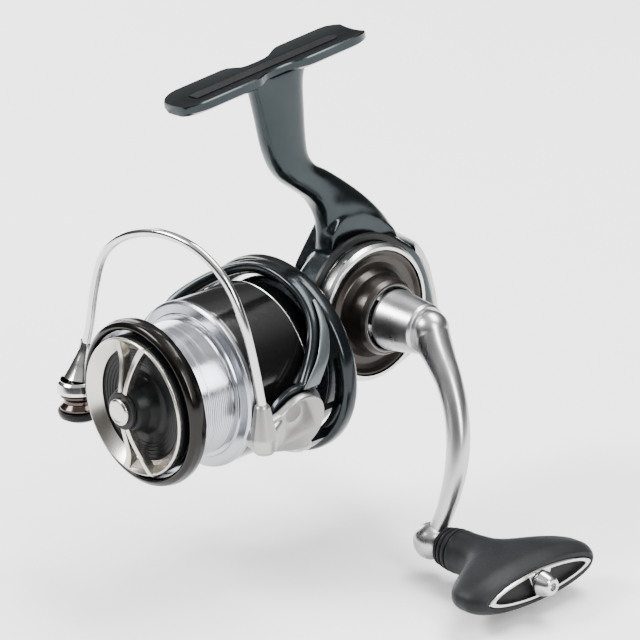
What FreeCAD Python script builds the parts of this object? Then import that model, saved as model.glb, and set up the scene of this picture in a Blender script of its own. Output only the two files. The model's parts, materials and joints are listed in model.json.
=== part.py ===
# A spinning fishing reel of the 2500 size, in millimetres.
# The spool axis runs along Y with the spool at -Y, the handle is on +X and the foot is on +Z.
# The origin is the middle of the foot's saddle, where the reel seats against the rod.
# Every sub-part is drawn about the main shaft, or about the handle axis, and its Placement
# moves it to the origin above.
import FreeCAD, Part
import math
import os
import Sketcher

Vector = FreeCAD.Vector
Rotation = FreeCAD.Rotation

DIMENSIONS = {
    # where the shaft axis lies below the foot, and the handle axis from the shaft axis
    "saddle_y": 17.0, "saddle_z": 79.4, "handle_y": 40.8, "handle_z": 7.5,
    # foot
    "foot_front": 30.6, "foot_back": 32.6, "foot_half_width": 7.0, "foot_waist": 4.6,
    "foot_depth": 2.8, "foot_lip": 0.9, "saddle_radius": 26.0, "foot_tilt": 5.3,
    "land_depth": 0.2,
    # body casting
    "stem_width": 8.6, "case_left": 12.4, "case_right": 9.2, "wall": 2.0,
    "nose_radius": 12.6, "nose_front": 8.8, "barrel_radius": 15.0, "barrel_front": 20.3,
    "plate_radius": 17.3, "ring_radius": 19.06, "plate_face": 12.9, "collar_face": 19.5,
    "case_taper_x": -2.0, "guide_rod_z": -6.6, "guide_rod_radius": 1.2,
    "slider_half": 3.2,
    # gears and shafts
    "shaft_radius": 2.0, "shaft_gap": 0.08, "pinion_radius": 3.9, "gear_radius": 14.3,
    "gear_inner": 10.4, "gear_face": 4.6, "gear_shaft_radius": 3.5, "gear_height": 2.4,
    "crank_wheel_radius": 9.2, "crank_wheel_y": 54.2, "crank_wheel_z": 3.6,
    # spool
    "lip_radius": 22.75, "drum_radius": 18.35, "skirt_radius": 22.5, "skirt_back": 8.8,
    "drum_front": 27.0, "drum_back": 13.4, "bearing_radius": 6.0, "drag_radius": 14.2,
    # drag knob
    "knob_rim": 18.8, "knob_ring_inner": 15.2, "knob_front": 34.4, "hub_front": 39.2,
    "hub_radius": 4.9, "blade_reach": 17.6,
    # rotor
    "rotor_turn": 14.0, "rotor_wall": 20.4, "rotor_ring": 26.0, "rotor_back": 19.6,
    "arm_inner": 25.2, "arm_outer": 29.2, "pivot_y": 1.3, "pivot_disc": 8.3, "pivot_screw": 1.5,
    "pivot_wall": 1.4, "lever_sunk": 11.7, "holder_sunk": 9.9,
    "hoop_rise": 16.5, "hoop_half": 2.6,
    # bail
    "side_in": 26.9, "side_out": 29.7, "lever_out": 29.2, "wire_radius": 1.2, "cone_y": 15.5,
    "roller_x": 34.0, "roller_y": 24.5, "roller_radius": 5.6, "roller_pin": 1.5,
    # handle and its knob
    "cone_base": 8.3, "cone_tip": 6.86, "cone_start": 20.0, "cone_end": 32.7,
    "arm_ball": 5.1, "arm_root_x": 34.0, "arm_end_x": 45.3, "arm_length": 54.3,
    "crank_lean": 14.0, "arm_thick": 6.3, "grip_front": 85.2, "grip_length": 45.6,
    "grip_height": 13.2, "neck_radius": 5.9, "knob_pin": 2.0,
}


# the rear outline of the case as (y, z), from the top round to the underside, where the case
# is widest and at the handle side, and the way out of the case at each point after the first
REAR_WIDE = [(54.0, 25.6), (61.4, 20.7), (65.0, 17.0), (68.0, 11.5), (70.0, 4.0), (71.2, -4.5),
             (67.5, -9.8), (61.0, -12.2), (52.5, -13.0)]
REAR_NARROW = [(54.0, 24.6), (60.0, 20.1), (62.2, 17.2), (64.2, 12.8), (66.0, 5.5), (67.2, -2.6),
               (65.6, -5.6), (60.0, -7.6), (52.5, -10.4)]
GUARD_OUTWARD = [(0.62, 0.78), (0.82, 0.57), (0.95, 0.3), (0.98, 0.18), (0.9, -0.43),
                 (0.5, -0.86), (0.28, -0.96), (0.2, -0.98)]


class Size:
    """A number of the sheet, or worked out from it, with the formula that FreeCAD keeps."""

    def __init__(self, value, text):
        self.value = float(value)
        self.text = text

    def _join(self, other, sign, value):
        return Size(value, "(" + self.text + " " + sign + " " + other.text + ")")

    def __add__(self, other):
        other = size(other)
        return self._join(other, "+", self.value + other.value)

    def __radd__(self, other):
        return size(other) + self

    def __sub__(self, other):
        other = size(other)
        return self._join(other, "-", self.value - other.value)

    def __rsub__(self, other):
        return size(other) - self

    def __mul__(self, other):
        other = size(other)
        return self._join(other, "*", self.value * other.value)

    def __rmul__(self, other):
        return size(other) * self

    def __neg__(self):
        return size(0) - self


def size(number):
    """The number itself as a Size, for the formulas."""
    if isinstance(number, Size):
        return number
    return Size(number, repr(float(number)))


class Dims:
    """The sheet's cells by name."""


doc = FreeCAD.newDocument("spinning_reel")
sheet = doc.addObject("Spreadsheet::Sheet", "dims")
d = Dims()
for row, (alias, number) in enumerate(DIMENSIONS.items(), start=1):
    sheet.set("A%d" % row, alias)
    sheet.set("B%d" % row, str(number))
    sheet.setAlias("B%d" % row, alias)
    setattr(d, alias, Size(number, "dims." + alias))
doc.recompute()

parts = []


# ---------------------------------------------------------------- placements
def place(obj, frame):
    """Bind a sub-part's Placement to the sheet.

    The frames are the shaft's, the rotor's (turned about the shaft), the handle axis's, the
    crank's (the handle axis's, leaning forward at rest) and the knob's (about its own pin).
    """
    base_y = -d.saddle_y
    base_z = -d.saddle_z
    if frame == "rotor":
        turn = Rotation(Vector(0, 1, 0), d.rotor_turn.value)
        obj.Placement = FreeCAD.Placement(Vector(0, base_y.value, base_z.value), turn)
        obj.setExpression("Placement.Rotation.Angle", d.rotor_turn.text)
    if frame in ("handle", "crank", "knob"):
        base_y = d.handle_y - d.saddle_y
        base_z = d.handle_z - d.saddle_z
    if frame == "crank":
        turn = Rotation(Vector(1, 0, 0), -d.crank_lean.value)
        obj.Placement = FreeCAD.Placement(Vector(0, base_y.value, base_z.value), turn)
        obj.setExpression("Placement.Rotation.Angle", (-d.crank_lean).text)
    if frame == "knob":
        lean = math.radians(d.crank_lean.value)
        base_y = base_y - d.arm_length * Size(math.sin(lean), "sin(dims.crank_lean)")
        base_z = base_z - d.arm_length * Size(math.cos(lean), "cos(dims.crank_lean)")
    obj.setExpression("Placement.Base.y", base_y.text)
    obj.setExpression("Placement.Base.z", base_z.text)


def new_body(label, frame="shaft"):
    """An empty PartDesign body in one of the three frames."""
    body = doc.addObject("PartDesign::Body", label)
    body.Label = label
    place(body, frame)
    parts.append(body)
    return body


# ---------------------------------------------------------------- sketches
def new_sketch(body, plane, shift=(0, 0, 0), tilt=None, spin=None):
    """A sketch on one of the body's origin planes, shifted in that plane's own axes.

    tilt leans it about its own across axis, and spin turns it within its plane.
    """
    sketch = body.newObject("Sketcher::SketchObject", body.Label + "_sketch")
    face = [item for item in body.Origin.OriginFeatures if item.Role == plane][0]
    sketch.AttachmentSupport = [(face, "")]
    sketch.MapMode = "FlatFace"
    shift = [size(item) for item in shift]
    offset = FreeCAD.Placement()
    offset.Base = Vector(*[item.value for item in shift])
    if tilt is not None:
        offset.Rotation = Rotation(Vector(1, 0, 0), tilt.value)
    if spin is not None:
        offset.Rotation = Rotation(Vector(0, 0, 1), spin.value)
    sketch.AttachmentOffset = offset
    for axis, item in zip("xyz", shift):
        sketch.setExpression("AttachmentOffset.Base." + axis, item.text)
    if tilt is not None or spin is not None:
        sketch.setExpression("AttachmentOffset.Rotation.Angle", (tilt or spin).text)
    return sketch


def bind(sketch, number, formula):
    """Name a constraint and give it its formula."""
    name = "size%d" % number
    sketch.renameConstraint(number, name)
    sketch.setExpression("Constraints." + name, formula)


def add_loop(sketch, points):
    """A closed outline of straight lines through points given as sizes."""
    points = [(size(across), size(up)) for across, up in points]
    first = sketch.GeometryCount
    count = len(points)
    for index in range(count):
        here = points[index]
        there = points[(index + 1) % count]
        start = Vector(here[0].value, here[1].value, 0)
        end = Vector(there[0].value, there[1].value, 0)
        sketch.addGeometry(Part.LineSegment(start, end), False)
    for index in range(count):
        after = first + (index + 1) % count
        sketch.addConstraint(Sketcher.Constraint("Coincident", first + index, 2, after, 1))
    for index, (across, up) in enumerate(points):
        line = first + index
        number = sketch.addConstraint(Sketcher.Constraint("DistanceX", -1, 1, line, 1, across.value))
        bind(sketch, number, across.text)
        number = sketch.addConstraint(Sketcher.Constraint("DistanceY", -1, 1, line, 1, up.value))
        bind(sketch, number, up.text)


def add_circle(sketch, radius, centre=(0, 0)):
    """A circle with its radius and centre bound."""
    radius = size(radius)
    across, up = size(centre[0]), size(centre[1])
    shape = Part.Circle(Vector(across.value, up.value, 0), Vector(0, 0, 1), radius.value)
    index = sketch.addGeometry(shape, False)
    number = sketch.addConstraint(Sketcher.Constraint("Radius", index, radius.value))
    bind(sketch, number, radius.text)
    number = sketch.addConstraint(Sketcher.Constraint("DistanceX", -1, 1, index, 3, across.value))
    bind(sketch, number, across.text)
    number = sketch.addConstraint(Sketcher.Constraint("DistanceY", -1, 1, index, 3, up.value))
    bind(sketch, number, up.text)


# ---------------------------------------------------------------- features
def revolve(body, points, plane="XY_Plane", axis="V_Axis", shift=(0, 0, 0), cut=False, spin=None):
    """Turn an outline about its sketch's own axis, adding to the body or cutting it."""
    sketch = new_sketch(body, plane, shift, spin=spin)
    add_loop(sketch, points)
    kind = "PartDesign::Groove" if cut else "PartDesign::Revolution"
    turned = body.newObject(kind, body.Label + "_turned")
    turned.Profile = sketch
    turned.ReferenceAxis = (sketch, [axis])
    turned.Angle = 360
    sketch.Visibility = False
    return turned


def extrude(body, draw, plane, length, start=0, cut=False, both=False, tilt=None, place_at=(0, 0)):
    """Pad or pocket what draw(sketch) draws, from a start offset along the plane's normal.

    A positive length goes along the normal for a pad and for a pocket alike.
    """
    sketch = new_sketch(body, plane, (place_at[0], place_at[1], start), tilt)
    draw(sketch)
    kind = "PartDesign::Pocket" if cut else "PartDesign::Pad"
    feature = body.newObject(kind, body.Label + ("_cut" if cut else "_pad"))
    feature.Profile = sketch
    length = size(length)
    feature.Length = length.value
    feature.setExpression("Length", length.text)
    feature.Midplane = both
    feature.Reversed = cut and not both
    sketch.Visibility = False
    return feature


def loft(body, outlines, places):
    """Join outlines square to X at the places given along it."""
    sketches = []
    for outline, at_x in zip(outlines, places):
        sketch = new_sketch(body, "YZ_Plane", (0, 0, at_x))
        add_loop(sketch, outline)
        sketch.Visibility = False
        sketches.append(sketch)
    joined = body.newObject("PartDesign::AdditiveLoft", body.Label + "_loft")
    joined.Profile = sketches[0]
    joined.Sections = sketches[1:]
    joined.Ruled = True
    return joined


def loop(points):
    return lambda sketch: add_loop(sketch, points)


def circle(radius, centre=(0, 0)):
    return lambda sketch: add_circle(sketch, radius, centre)


def ring_part(label, inner, outer, low, high, frame="shaft"):
    """A plain ring about the frame's own axis: Y for the shaft and rotor, X for the handle."""
    body = new_body(label, frame)
    if frame == "handle":
        points = [(low, inner), (high, inner), (high, outer), (low, outer)]
        revolve(body, points, axis="H_Axis")
    else:
        points = [(inner, low), (outer, low), (outer, high), (inner, high)]
        revolve(body, points)
    return body


def coded(label, shape, frame="shaft"):
    """A sub-part whose shape is worked out here from the sheet's sizes."""
    matrix = shape.Placement.toMatrix()
    shape.Placement = FreeCAD.Placement()
    feature = doc.addObject("Part::Feature", label)
    feature.Label = label
    feature.Shape = shape.transformed(matrix, copy=True)
    feature.Placement = FreeCAD.Placement()
    place(feature, frame)
    parts.append(feature)
    return feature


# ---------------------------------------------------------------- body casting
def make_main_body():
    """Gear case, stem and foot: one casting, open on the handle side and at the nose."""
    body = new_body("main_body")
    stem = [(12.5, 76.2), (14.1, 65.8), (15.9, 57.1), (18.3, 51.0), (24.2, 44.4), (29.3, 40.3),
            (32.6, 36.4), (31.6, 31.8), (26.7, 28.3), (24.0, 24.0), (40.0, 10.0), (59.4, 21.9),
            (52.6, 32.6), (45.6, 39.3), (38.7, 45.1), (31.1, 50.4), (29.2, 55.0), (29.3, 61.9),
            (30.2, 77.8)]
    extrude(body, loop(stem), "YZ_Plane", d.stem_width, both=True)
    # the case tapers towards the handle side, where it ends in the round plate's rim
    top = [(21.7, 10.5), (30.0, 14.5), (36.0, 19.5), (41.0, 23.5), (46.0, 26.0)]
    bottom = [(45.0, -12.0), (36.0, -12.0), (21.7, -12.0)]
    wide = top + REAR_WIDE + bottom
    narrow = top + REAR_NARROW + bottom
    extrude(body, loop(wide), "YZ_Plane", d.case_left + d.case_taper_x, start=-d.case_left)
    loft(body, (wide, narrow), (d.case_taper_x, d.case_right))
    # shoulder under the stem, its front face nearly flat
    shoulder = [(29.0, 10.0), (29.8, 20.0), (31.6, 23.5), (32.6, 27.0), (32.6, 31.0), (36.0, 34.6),
                (44.0, 34.2), (50.0, 31.2), (56.0, 26.0), (58.0, 20.0), (58.0, 10.0)]
    extrude(body, loop(shoulder), "YZ_Plane", 8.5, start=-2.0)
    lean_back = [(29.0, 10.0), (32.0, 20.0), (35.8, 25.0), (38.4, 29.5), (41.0, 32.4), (44.0, 33.0),
                 (50.0, 30.4), (56.0, 25.5), (58.0, 20.0), (58.0, 10.0)]
    extrude(body, loop(lean_back), "YZ_Plane", 5.0, start=-6.8)
    centre = (d.handle_y, d.handle_z)
    extrude(body, circle(d.ring_radius, centre), "YZ_Plane", d.case_right - d.case_taper_x,
            start=d.case_taper_x)
    revolve(body, [(0, d.barrel_front), (d.barrel_radius, d.barrel_front),
                   (d.barrel_radius, 21.7), (0, 21.7)])
    revolve(body, [(0, d.nose_front), (d.nose_radius, d.nose_front), (d.nose_radius, 21.5), (0, 21.5)])
    # foot: a waisted plate, its top hollowed to sit on a round rod
    half = d.foot_half_width
    waist = d.foot_waist
    right = [(half - 3.0, -d.foot_front), (half - 0.6, 2.5 - d.foot_front), (half, 5.5 - d.foot_front),
             (half, -5.8), (waist, -2.6), (waist, 5.4), (half, 10.6), (half - 0.4, d.foot_back - 4.5),
             (half - 2.4, d.foot_back)]
    left = [(-across, along) for across, along in reversed(right)]
    underside = d.saddle_z - d.foot_depth
    extrude(body, loop(right + left), "XY_Plane", d.foot_depth + d.foot_lip,
            start=underside, tilt=d.foot_tilt, place_at=(0, d.saddle_y))
    # lands under both ends, where the hoods of a reel seat press
    for low, high in ((-d.foot_front - 1.0, size(-16.0)), (size(18.0), d.foot_back + 1.0)):
        land = [(-d.foot_half_width - 1.0, low), (d.foot_half_width + 1.0, low),
                (d.foot_half_width + 1.0, high), (-d.foot_half_width - 1.0, high)]
        extrude(body, loop(land), "XY_Plane", d.land_depth, start=underside, cut=True,
                tilt=d.foot_tilt, place_at=(0, d.saddle_y))
    # saddle hollow along the foot
    doc.recompute()
    hollow = new_sketch(body, "XZ_Plane", (0, d.saddle_z, -d.saddle_y), d.foot_tilt)
    add_circle(hollow, d.saddle_radius, (0, d.saddle_radius))
    saddle = body.newObject("PartDesign::Pocket", "saddle_hollow")
    saddle.Profile = hollow
    saddle.Length = 2.4 * (d.foot_front.value + d.foot_back.value)
    saddle.Midplane = True
    # gear room, open towards the side plate, and the bores along the shaft
    room = [(28.3, 12.0), (31.0, 13.2), (37.0, 18.2), (42.0, 22.0), (46.5, 23.8), (53.0, 23.2),
            (58.0, 19.6), (61.0, 14.6), (63.8, 6.0), (64.6, -2.6), (58.5, -5.8), (52.0, -8.4),
            (44.0, -9.6), (28.3, -9.6)]
    extrude(body, loop(room), "YZ_Plane", d.case_left + d.case_right - 2 * d.wall,
            start=d.wall - d.case_left, cut=True)
    # the slider's way and its guide rod, whose rear end sits in the back wall
    way = [(30.0, -9.4), (62.0, -8.8), (64.0, -5.0), (64.0, 4.0), (30.0, 4.0)]
    extrude(body, loop(way), "YZ_Plane", 7.4, start=-3.7, cut=True)
    rod_end = d.guide_rod_radius + 0.02
    revolve(body, [(0, 60.0), (rod_end, 60.0), (rod_end, 67.0), (0, 67.0)],
            shift=(0, 0, d.guide_rod_z), cut=True)
    extrude(body, circle(d.gear_radius + 0.8, centre), "YZ_Plane", d.case_right,
            start=d.gear_face - 0.6, cut=True)
    for radius, low, high in ((10.05, 0.0, 20.0), (8.05, 19.9, 24.6), (6.4, 24.5, 29.0)):
        revolve(body, [(0, low), (radius, low), (radius, high), (0, high)], cut=True)
    # seat of the left gear bearing
    seat = new_sketch(body, "YZ_Plane", (0, 0, -d.case_left))
    add_circle(seat, 8.4, centre)
    add_circle(seat, 6.5, centre)
    boss = body.newObject("PartDesign::Pad", "bearing_boss")
    boss.Profile = seat
    boss.Length = 5.2
    extrude(body, circle(6.5, centre), "YZ_Plane", d.wall + 1.0, start=-d.case_left - 0.5, cut=True)


def make_case_covers():
    """Side plate with its ring, the rear guard, the left port cap and their screws."""
    plate = new_body("side_plate", "handle")
    revolve(plate, [(9.3, 6.55), (9.3, d.plate_radius), (d.plate_face, d.plate_radius),
                    (d.plate_face, 16.2), (11.9, 15.3), (11.5, 12.6), (13.6, 11.2),
                    (18.4, 10.2), (d.collar_face, 9.6), (d.collar_face, 8.4), (14.0, 8.2),
                    (12.6, 6.55)], axis="H_Axis")
    ring_part("plate_ring", d.plate_radius, d.ring_radius, 9.2, 13.4, "handle")
    cap = new_body("port_cap", "handle")
    revolve(cap, [(-12.5, 0), (-12.5, 7.6), (-13.6, 7.6), (-15.4, 6.4), (-15.6, 0)], axis="H_Axis")
    guard = new_body("rear_guard")
    shapes = []
    for rear in (REAR_WIDE, REAR_NARROW):
        rows = rear[1:]
        outer = [(along + out * 1.75, up + rise * 1.75)
                 for (along, up), (out, rise) in zip(rows, GUARD_OUTWARD)]
        inner = [(along + out * 0.2, up + rise * 0.2)
                 for (along, up), (out, rise) in zip(rows, GUARD_OUTWARD)]
        shapes.append(outer + inner[::-1])
    loft(guard, shapes, (d.case_taper_x, d.case_right - 0.3))
    extrude(guard, loop(shapes[0]), "YZ_Plane", 8.0, start=d.case_taper_x - 8.0)
    screws = new_body("rear_guard_screws")
    for side in (-1, 1):
        hole = [(0, -16.0), (1.75, -16.0), (1.75, -11.0), (0, -11.0)]
        at_screw = (side * 2.6 - 4.2, 0, -56.0)
        revolve(guard, hole, plane="XZ_Plane", shift=at_screw, cut=True)
        head = [(0, -14.7), (1.3, -14.7), (1.65, -14.3), (1.65, -13.3), (0, -13.3)]
        revolve(screws, head, plane="XZ_Plane", shift=at_screw)
    ring_part("gear_bearing_right", 3.56, 6.5, 9.4, 12.4, "handle")
    ring_part("gear_bearing_left", 3.56, 6.45, -10.3, -7.4, "handle")
    ring_part("front_bearing", 3.96, 8.0, 21.2, 24.2)
    ring_part("rear_bushing", 2.9, 4.2, 34.6, 36.4)
    ring_part("one_way_clutch", 6.55, 10.0, 9.2, 18.4)
    ring_part("clutch_seal", 6.55, 9.6, 8.9, 9.15)
    ring_part("clutch_retainer", 6.8, 12.4, 7.6, 8.75)
    rod = new_body("guide_rod")
    radius = d.guide_rod_radius
    revolve(rod, [(0, 36.8), (radius, 36.8), (radius, 66.6), (0, 66.6)], shift=(0, 0, d.guide_rod_z))


# ---------------------------------------------------------------- gears and shafts
def toothed_ring(teeth, root, tip, bore, thickness):
    """A flat ring with straight-sided teeth, standing on the XY plane."""
    corners = []
    for tooth in range(teeth):
        for share, radius in ((-0.36, root), (-0.18, tip), (0.18, tip), (0.36, root)):
            angle = 2 * math.pi * (tooth + share) / teeth
            corners.append(Vector(radius * math.cos(angle), radius * math.sin(angle), 0))
    corners.append(corners[0])
    blank = Part.Face(Part.makePolygon(corners)).extrude(Vector(0, 0, thickness))
    return blank.cut(Part.makeCylinder(bore, thickness))


def along_x(shape, start):
    """A shape drawn along Z laid along X, beginning at start."""
    turned = shape.copy()
    turned.rotate(Vector(0, 0, 0), Vector(0, 1, 0), 90)
    turned.translate(Vector(start, 0, 0))
    return turned


def along_y(shape, start):
    """A shape drawn along Z laid along Y, beginning at start."""
    turned = shape.copy()
    turned.rotate(Vector(0, 0, 0), Vector(1, 0, 0), -90)
    turned.translate(Vector(0, start, 0))
    return turned


def make_gears():
    """Main shaft, pinion, drive gear with its shaft, and the crank wheel that moves the spool."""
    gap = d.shaft_gap.value
    shaft_radius = d.shaft_radius.value
    shaft = new_body("main_shaft")
    revolve(shaft, [(0, -36.4), (1.6, -36.4), (d.shaft_radius, -36.0), (d.shaft_radius, 60.0), (0, 60.0)])
    pinion_radius = d.pinion_radius.value
    pinion_bore = shaft_radius + gap
    tube = along_y(Part.makeCylinder(pinion_radius, 42.5), -14.0)
    teeth = along_y(toothed_ring(9, pinion_radius - 0.6, pinion_radius + 0.3, pinion_bore, 5.5), 28.5)
    journal = along_y(Part.makeCylinder(2.84, 2.6), 34.0)
    bore = along_y(Part.makeCylinder(pinion_bore, 60), -20.0)
    coded("pinion_gear", tube.fuse([teeth, journal]).cut(bore))
    # the drive gear: a dished wheel, its teeth towards the pinion
    wheel = Part.makeCylinder(d.gear_radius.value - 0.4, d.gear_height.value)
    rim = toothed_ring(47, d.gear_radius.value - 1.0, d.gear_radius.value, d.gear_inner.value, 0.9)
    rim.translate(Vector(0, 0, 0.1))
    hub = Part.makeCylinder(6.0, 4.2)
    drive = wheel.fuse([rim, hub]).cut(Part.makeCylinder(d.gear_shaft_radius.value, 10))
    coded("drive_gear", along_x(drive, d.gear_face.value), "handle")
    gear_shaft = new_body("gear_shaft", "handle")
    revolve(gear_shaft, [(-10.2, 2.4), (19.6, 2.4), (19.6, d.gear_shaft_radius),
                         (-10.2, d.gear_shaft_radius)], axis="H_Axis")
    small = toothed_ring(12, 4.0, 4.6, d.gear_shaft_radius.value, 2.0)
    coded("crank_pinion", along_x(small, -6.9), "handle")
    # the crank wheel turns beside the slider; its pin stands short of the slider's slot
    crank = toothed_ring(22, d.crank_wheel_radius.value - 0.6, d.crank_wheel_radius.value, 1.6, 2.0)
    crank = crank.fuse(Part.makeCylinder(1.0, 2.6, Vector(6.2, 0, 0)))
    crank = along_x(crank, -6.9)
    crank.translate(Vector(0, d.crank_wheel_y.value, d.crank_wheel_z.value))
    coded("crank_wheel", crank)
    post = new_body("crank_wheel_post")
    revolve(post, [(-10.4, 0), (-4.6, 0), (-4.6, 1.5), (-10.4, 1.5)], axis="H_Axis",
            shift=(0, d.crank_wheel_y, d.crank_wheel_z))
    slider = new_body("slider_block")
    half = d.slider_half
    outline = [(-half, -8.5), (half, -8.5), (half, 3.4), (-half, 3.4)]
    extrude(slider, loop(outline), "XZ_Plane", 6.0, start=-61.0)
    bores = ((d.shaft_radius + 0.02, (0, 0)), (d.guide_rod_radius + d.shaft_gap, (0, d.guide_rod_z)))
    for bore, centre in bores:
        extrude(slider, circle(bore, centre), "XZ_Plane", 80.0, start=-70.0, cut=True)
    screw = new_body("slider_screw")
    revolve(screw, [(0, 61.0), (2.8, 61.0), (2.8, 62.2), (0, 62.2)])


# ---------------------------------------------------------------- spool and drag
def make_spool():
    """The line drum with its lip and skirt, its bearings, and the drag inside its front."""
    lip = d.lip_radius
    spool = new_body("spool_drum")
    revolve(spool, [(d.bearing_radius, -20.2), (d.drag_radius + 0.4, -20.2), (d.drag_radius + 0.4, -28.6),
                    (20.0, -28.6), (20.0, -d.drum_front), (18.1, 0.5 - d.drum_front),
                    (d.drum_radius, -d.drum_back), (lip - 0.6, -d.drum_back), (lip, -12.8),
                    (lip, -11.7), (16.2, -11.7), (16.2, -17.0), (d.bearing_radius, -17.0)])
    front = new_body("spool_lip")
    revolve(front, [(20.0, -31.6), (20.9, -32.7), (lip - 0.5, -31.6), (lip, -29.8), (lip - 0.3, -28.2),
                    (20.0, -27.2)])
    skirt = new_body("spool_skirt")
    radius = d.skirt_radius
    revolve(skirt, [(17.0, -11.7), (radius, -11.7), (radius, d.skirt_back - 1.5),
                    (radius - 0.4, d.skirt_back), (radius - 1.0, d.skirt_back),
                    (radius - 1.0, -10.9), (17.0, -10.9)])
    bearing = new_body("spool_bearings")
    for low in (-20.1, -18.5):
        revolve(bearing, [(d.shaft_radius + d.shaft_gap, low), (d.bearing_radius, low),
                          (d.bearing_radius, low + 1.4), (d.shaft_radius + d.shaft_gap, low + 1.4)])
    click = new_body("click_ring")
    revolve(click, [(9.0, -17.0), (11.5, -17.0), (11.5, -16.0), (9.0, -16.0)])
    washers = new_body("drag_washers")
    plates = new_body("drag_plates")
    for index in range(3):
        low = -21.1 - 2.0 * index
        revolve(washers, [(3.4, low), (d.drag_radius, low), (d.drag_radius, low + 0.9), (3.4, low + 0.9)])
    for index in range(2):
        low = -22.1 - 2.0 * index
        revolve(plates, [(3.4, low), (d.drag_radius, low), (d.drag_radius, low + 1.0), (3.4, low + 1.0)])
    keeper = new_body("drag_clip")
    revolve(keeper, [(12.4, -25.9), (d.drag_radius + 0.4, -25.9), (d.drag_radius + 0.4, -25.2),
                     (12.4, -25.2)])
    collar = new_body("spool_collar")
    revolve(collar, [(d.shaft_radius, -16.9), (5.0, -16.9), (5.0, -15.2), (d.shaft_radius, -15.2)])


def make_drag_knob():
    """The knob that clamps the drag: body, bright bezel with its crossbar, hub cap and spring."""
    rim = d.knob_rim
    base = new_body("drag_knob_body")
    revolve(base, [(2.2, -28.4), (13.6, -28.4), (13.6, -29.6), (rim - 0.4, -29.6), (rim, -30.4),
                   (rim, -33.0), (d.knob_ring_inner, -33.0), (14.6, -31.6), (10.0, -30.8),
                   (7.4, -32.6), (6.2, -36.8), (2.2, -36.8)])
    bezel = new_body("drag_bezel")
    revolve(bezel, [(d.knob_ring_inner, -33.0), (rim, -33.0), (rim, -33.5), (rim - 0.5, -d.knob_front),
                    (d.knob_ring_inner + 0.3, -33.7), (d.knob_ring_inner, -33.4)])
    for end in (-1, 1):
        for side in (-1, 1):
            blade = [(side * 0.6, end * 4.5), (side * 2.2, end * 4.5), (side * 4.9, end * d.blade_reach),
                     (side * 3.2, end * d.blade_reach)]
            extrude(bezel, loop(blade), "XZ_Plane", 2.4, start=33.0)
            root = [(side * 0.6, end * 2.5), (side * 2.2, end * 2.5), (side * 3.1, end * 9.0),
                    (side * 1.4, end * 9.0)]
            extrude(bezel, loop(root), "XZ_Plane", 2.6, start=35.0)
    extrude(bezel, circle(5.6), "XZ_Plane", 1.2, start=36.8)
    extrude(bezel, circle(7.6), "XZ_Plane", 3.85, start=32.95, cut=True)
    cap = new_body("drag_cap")
    revolve(cap, [(0, -38.0), (d.hub_radius, -38.0), (d.hub_radius, -38.7), (4.2, -d.hub_front),
                  (0, -d.hub_front)])
    spring = new_body("drag_spring")
    revolve(spring, [(4.2, -28.3), (6.6, -28.3), (6.6, -26.4), (4.2, -26.4)])


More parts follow.
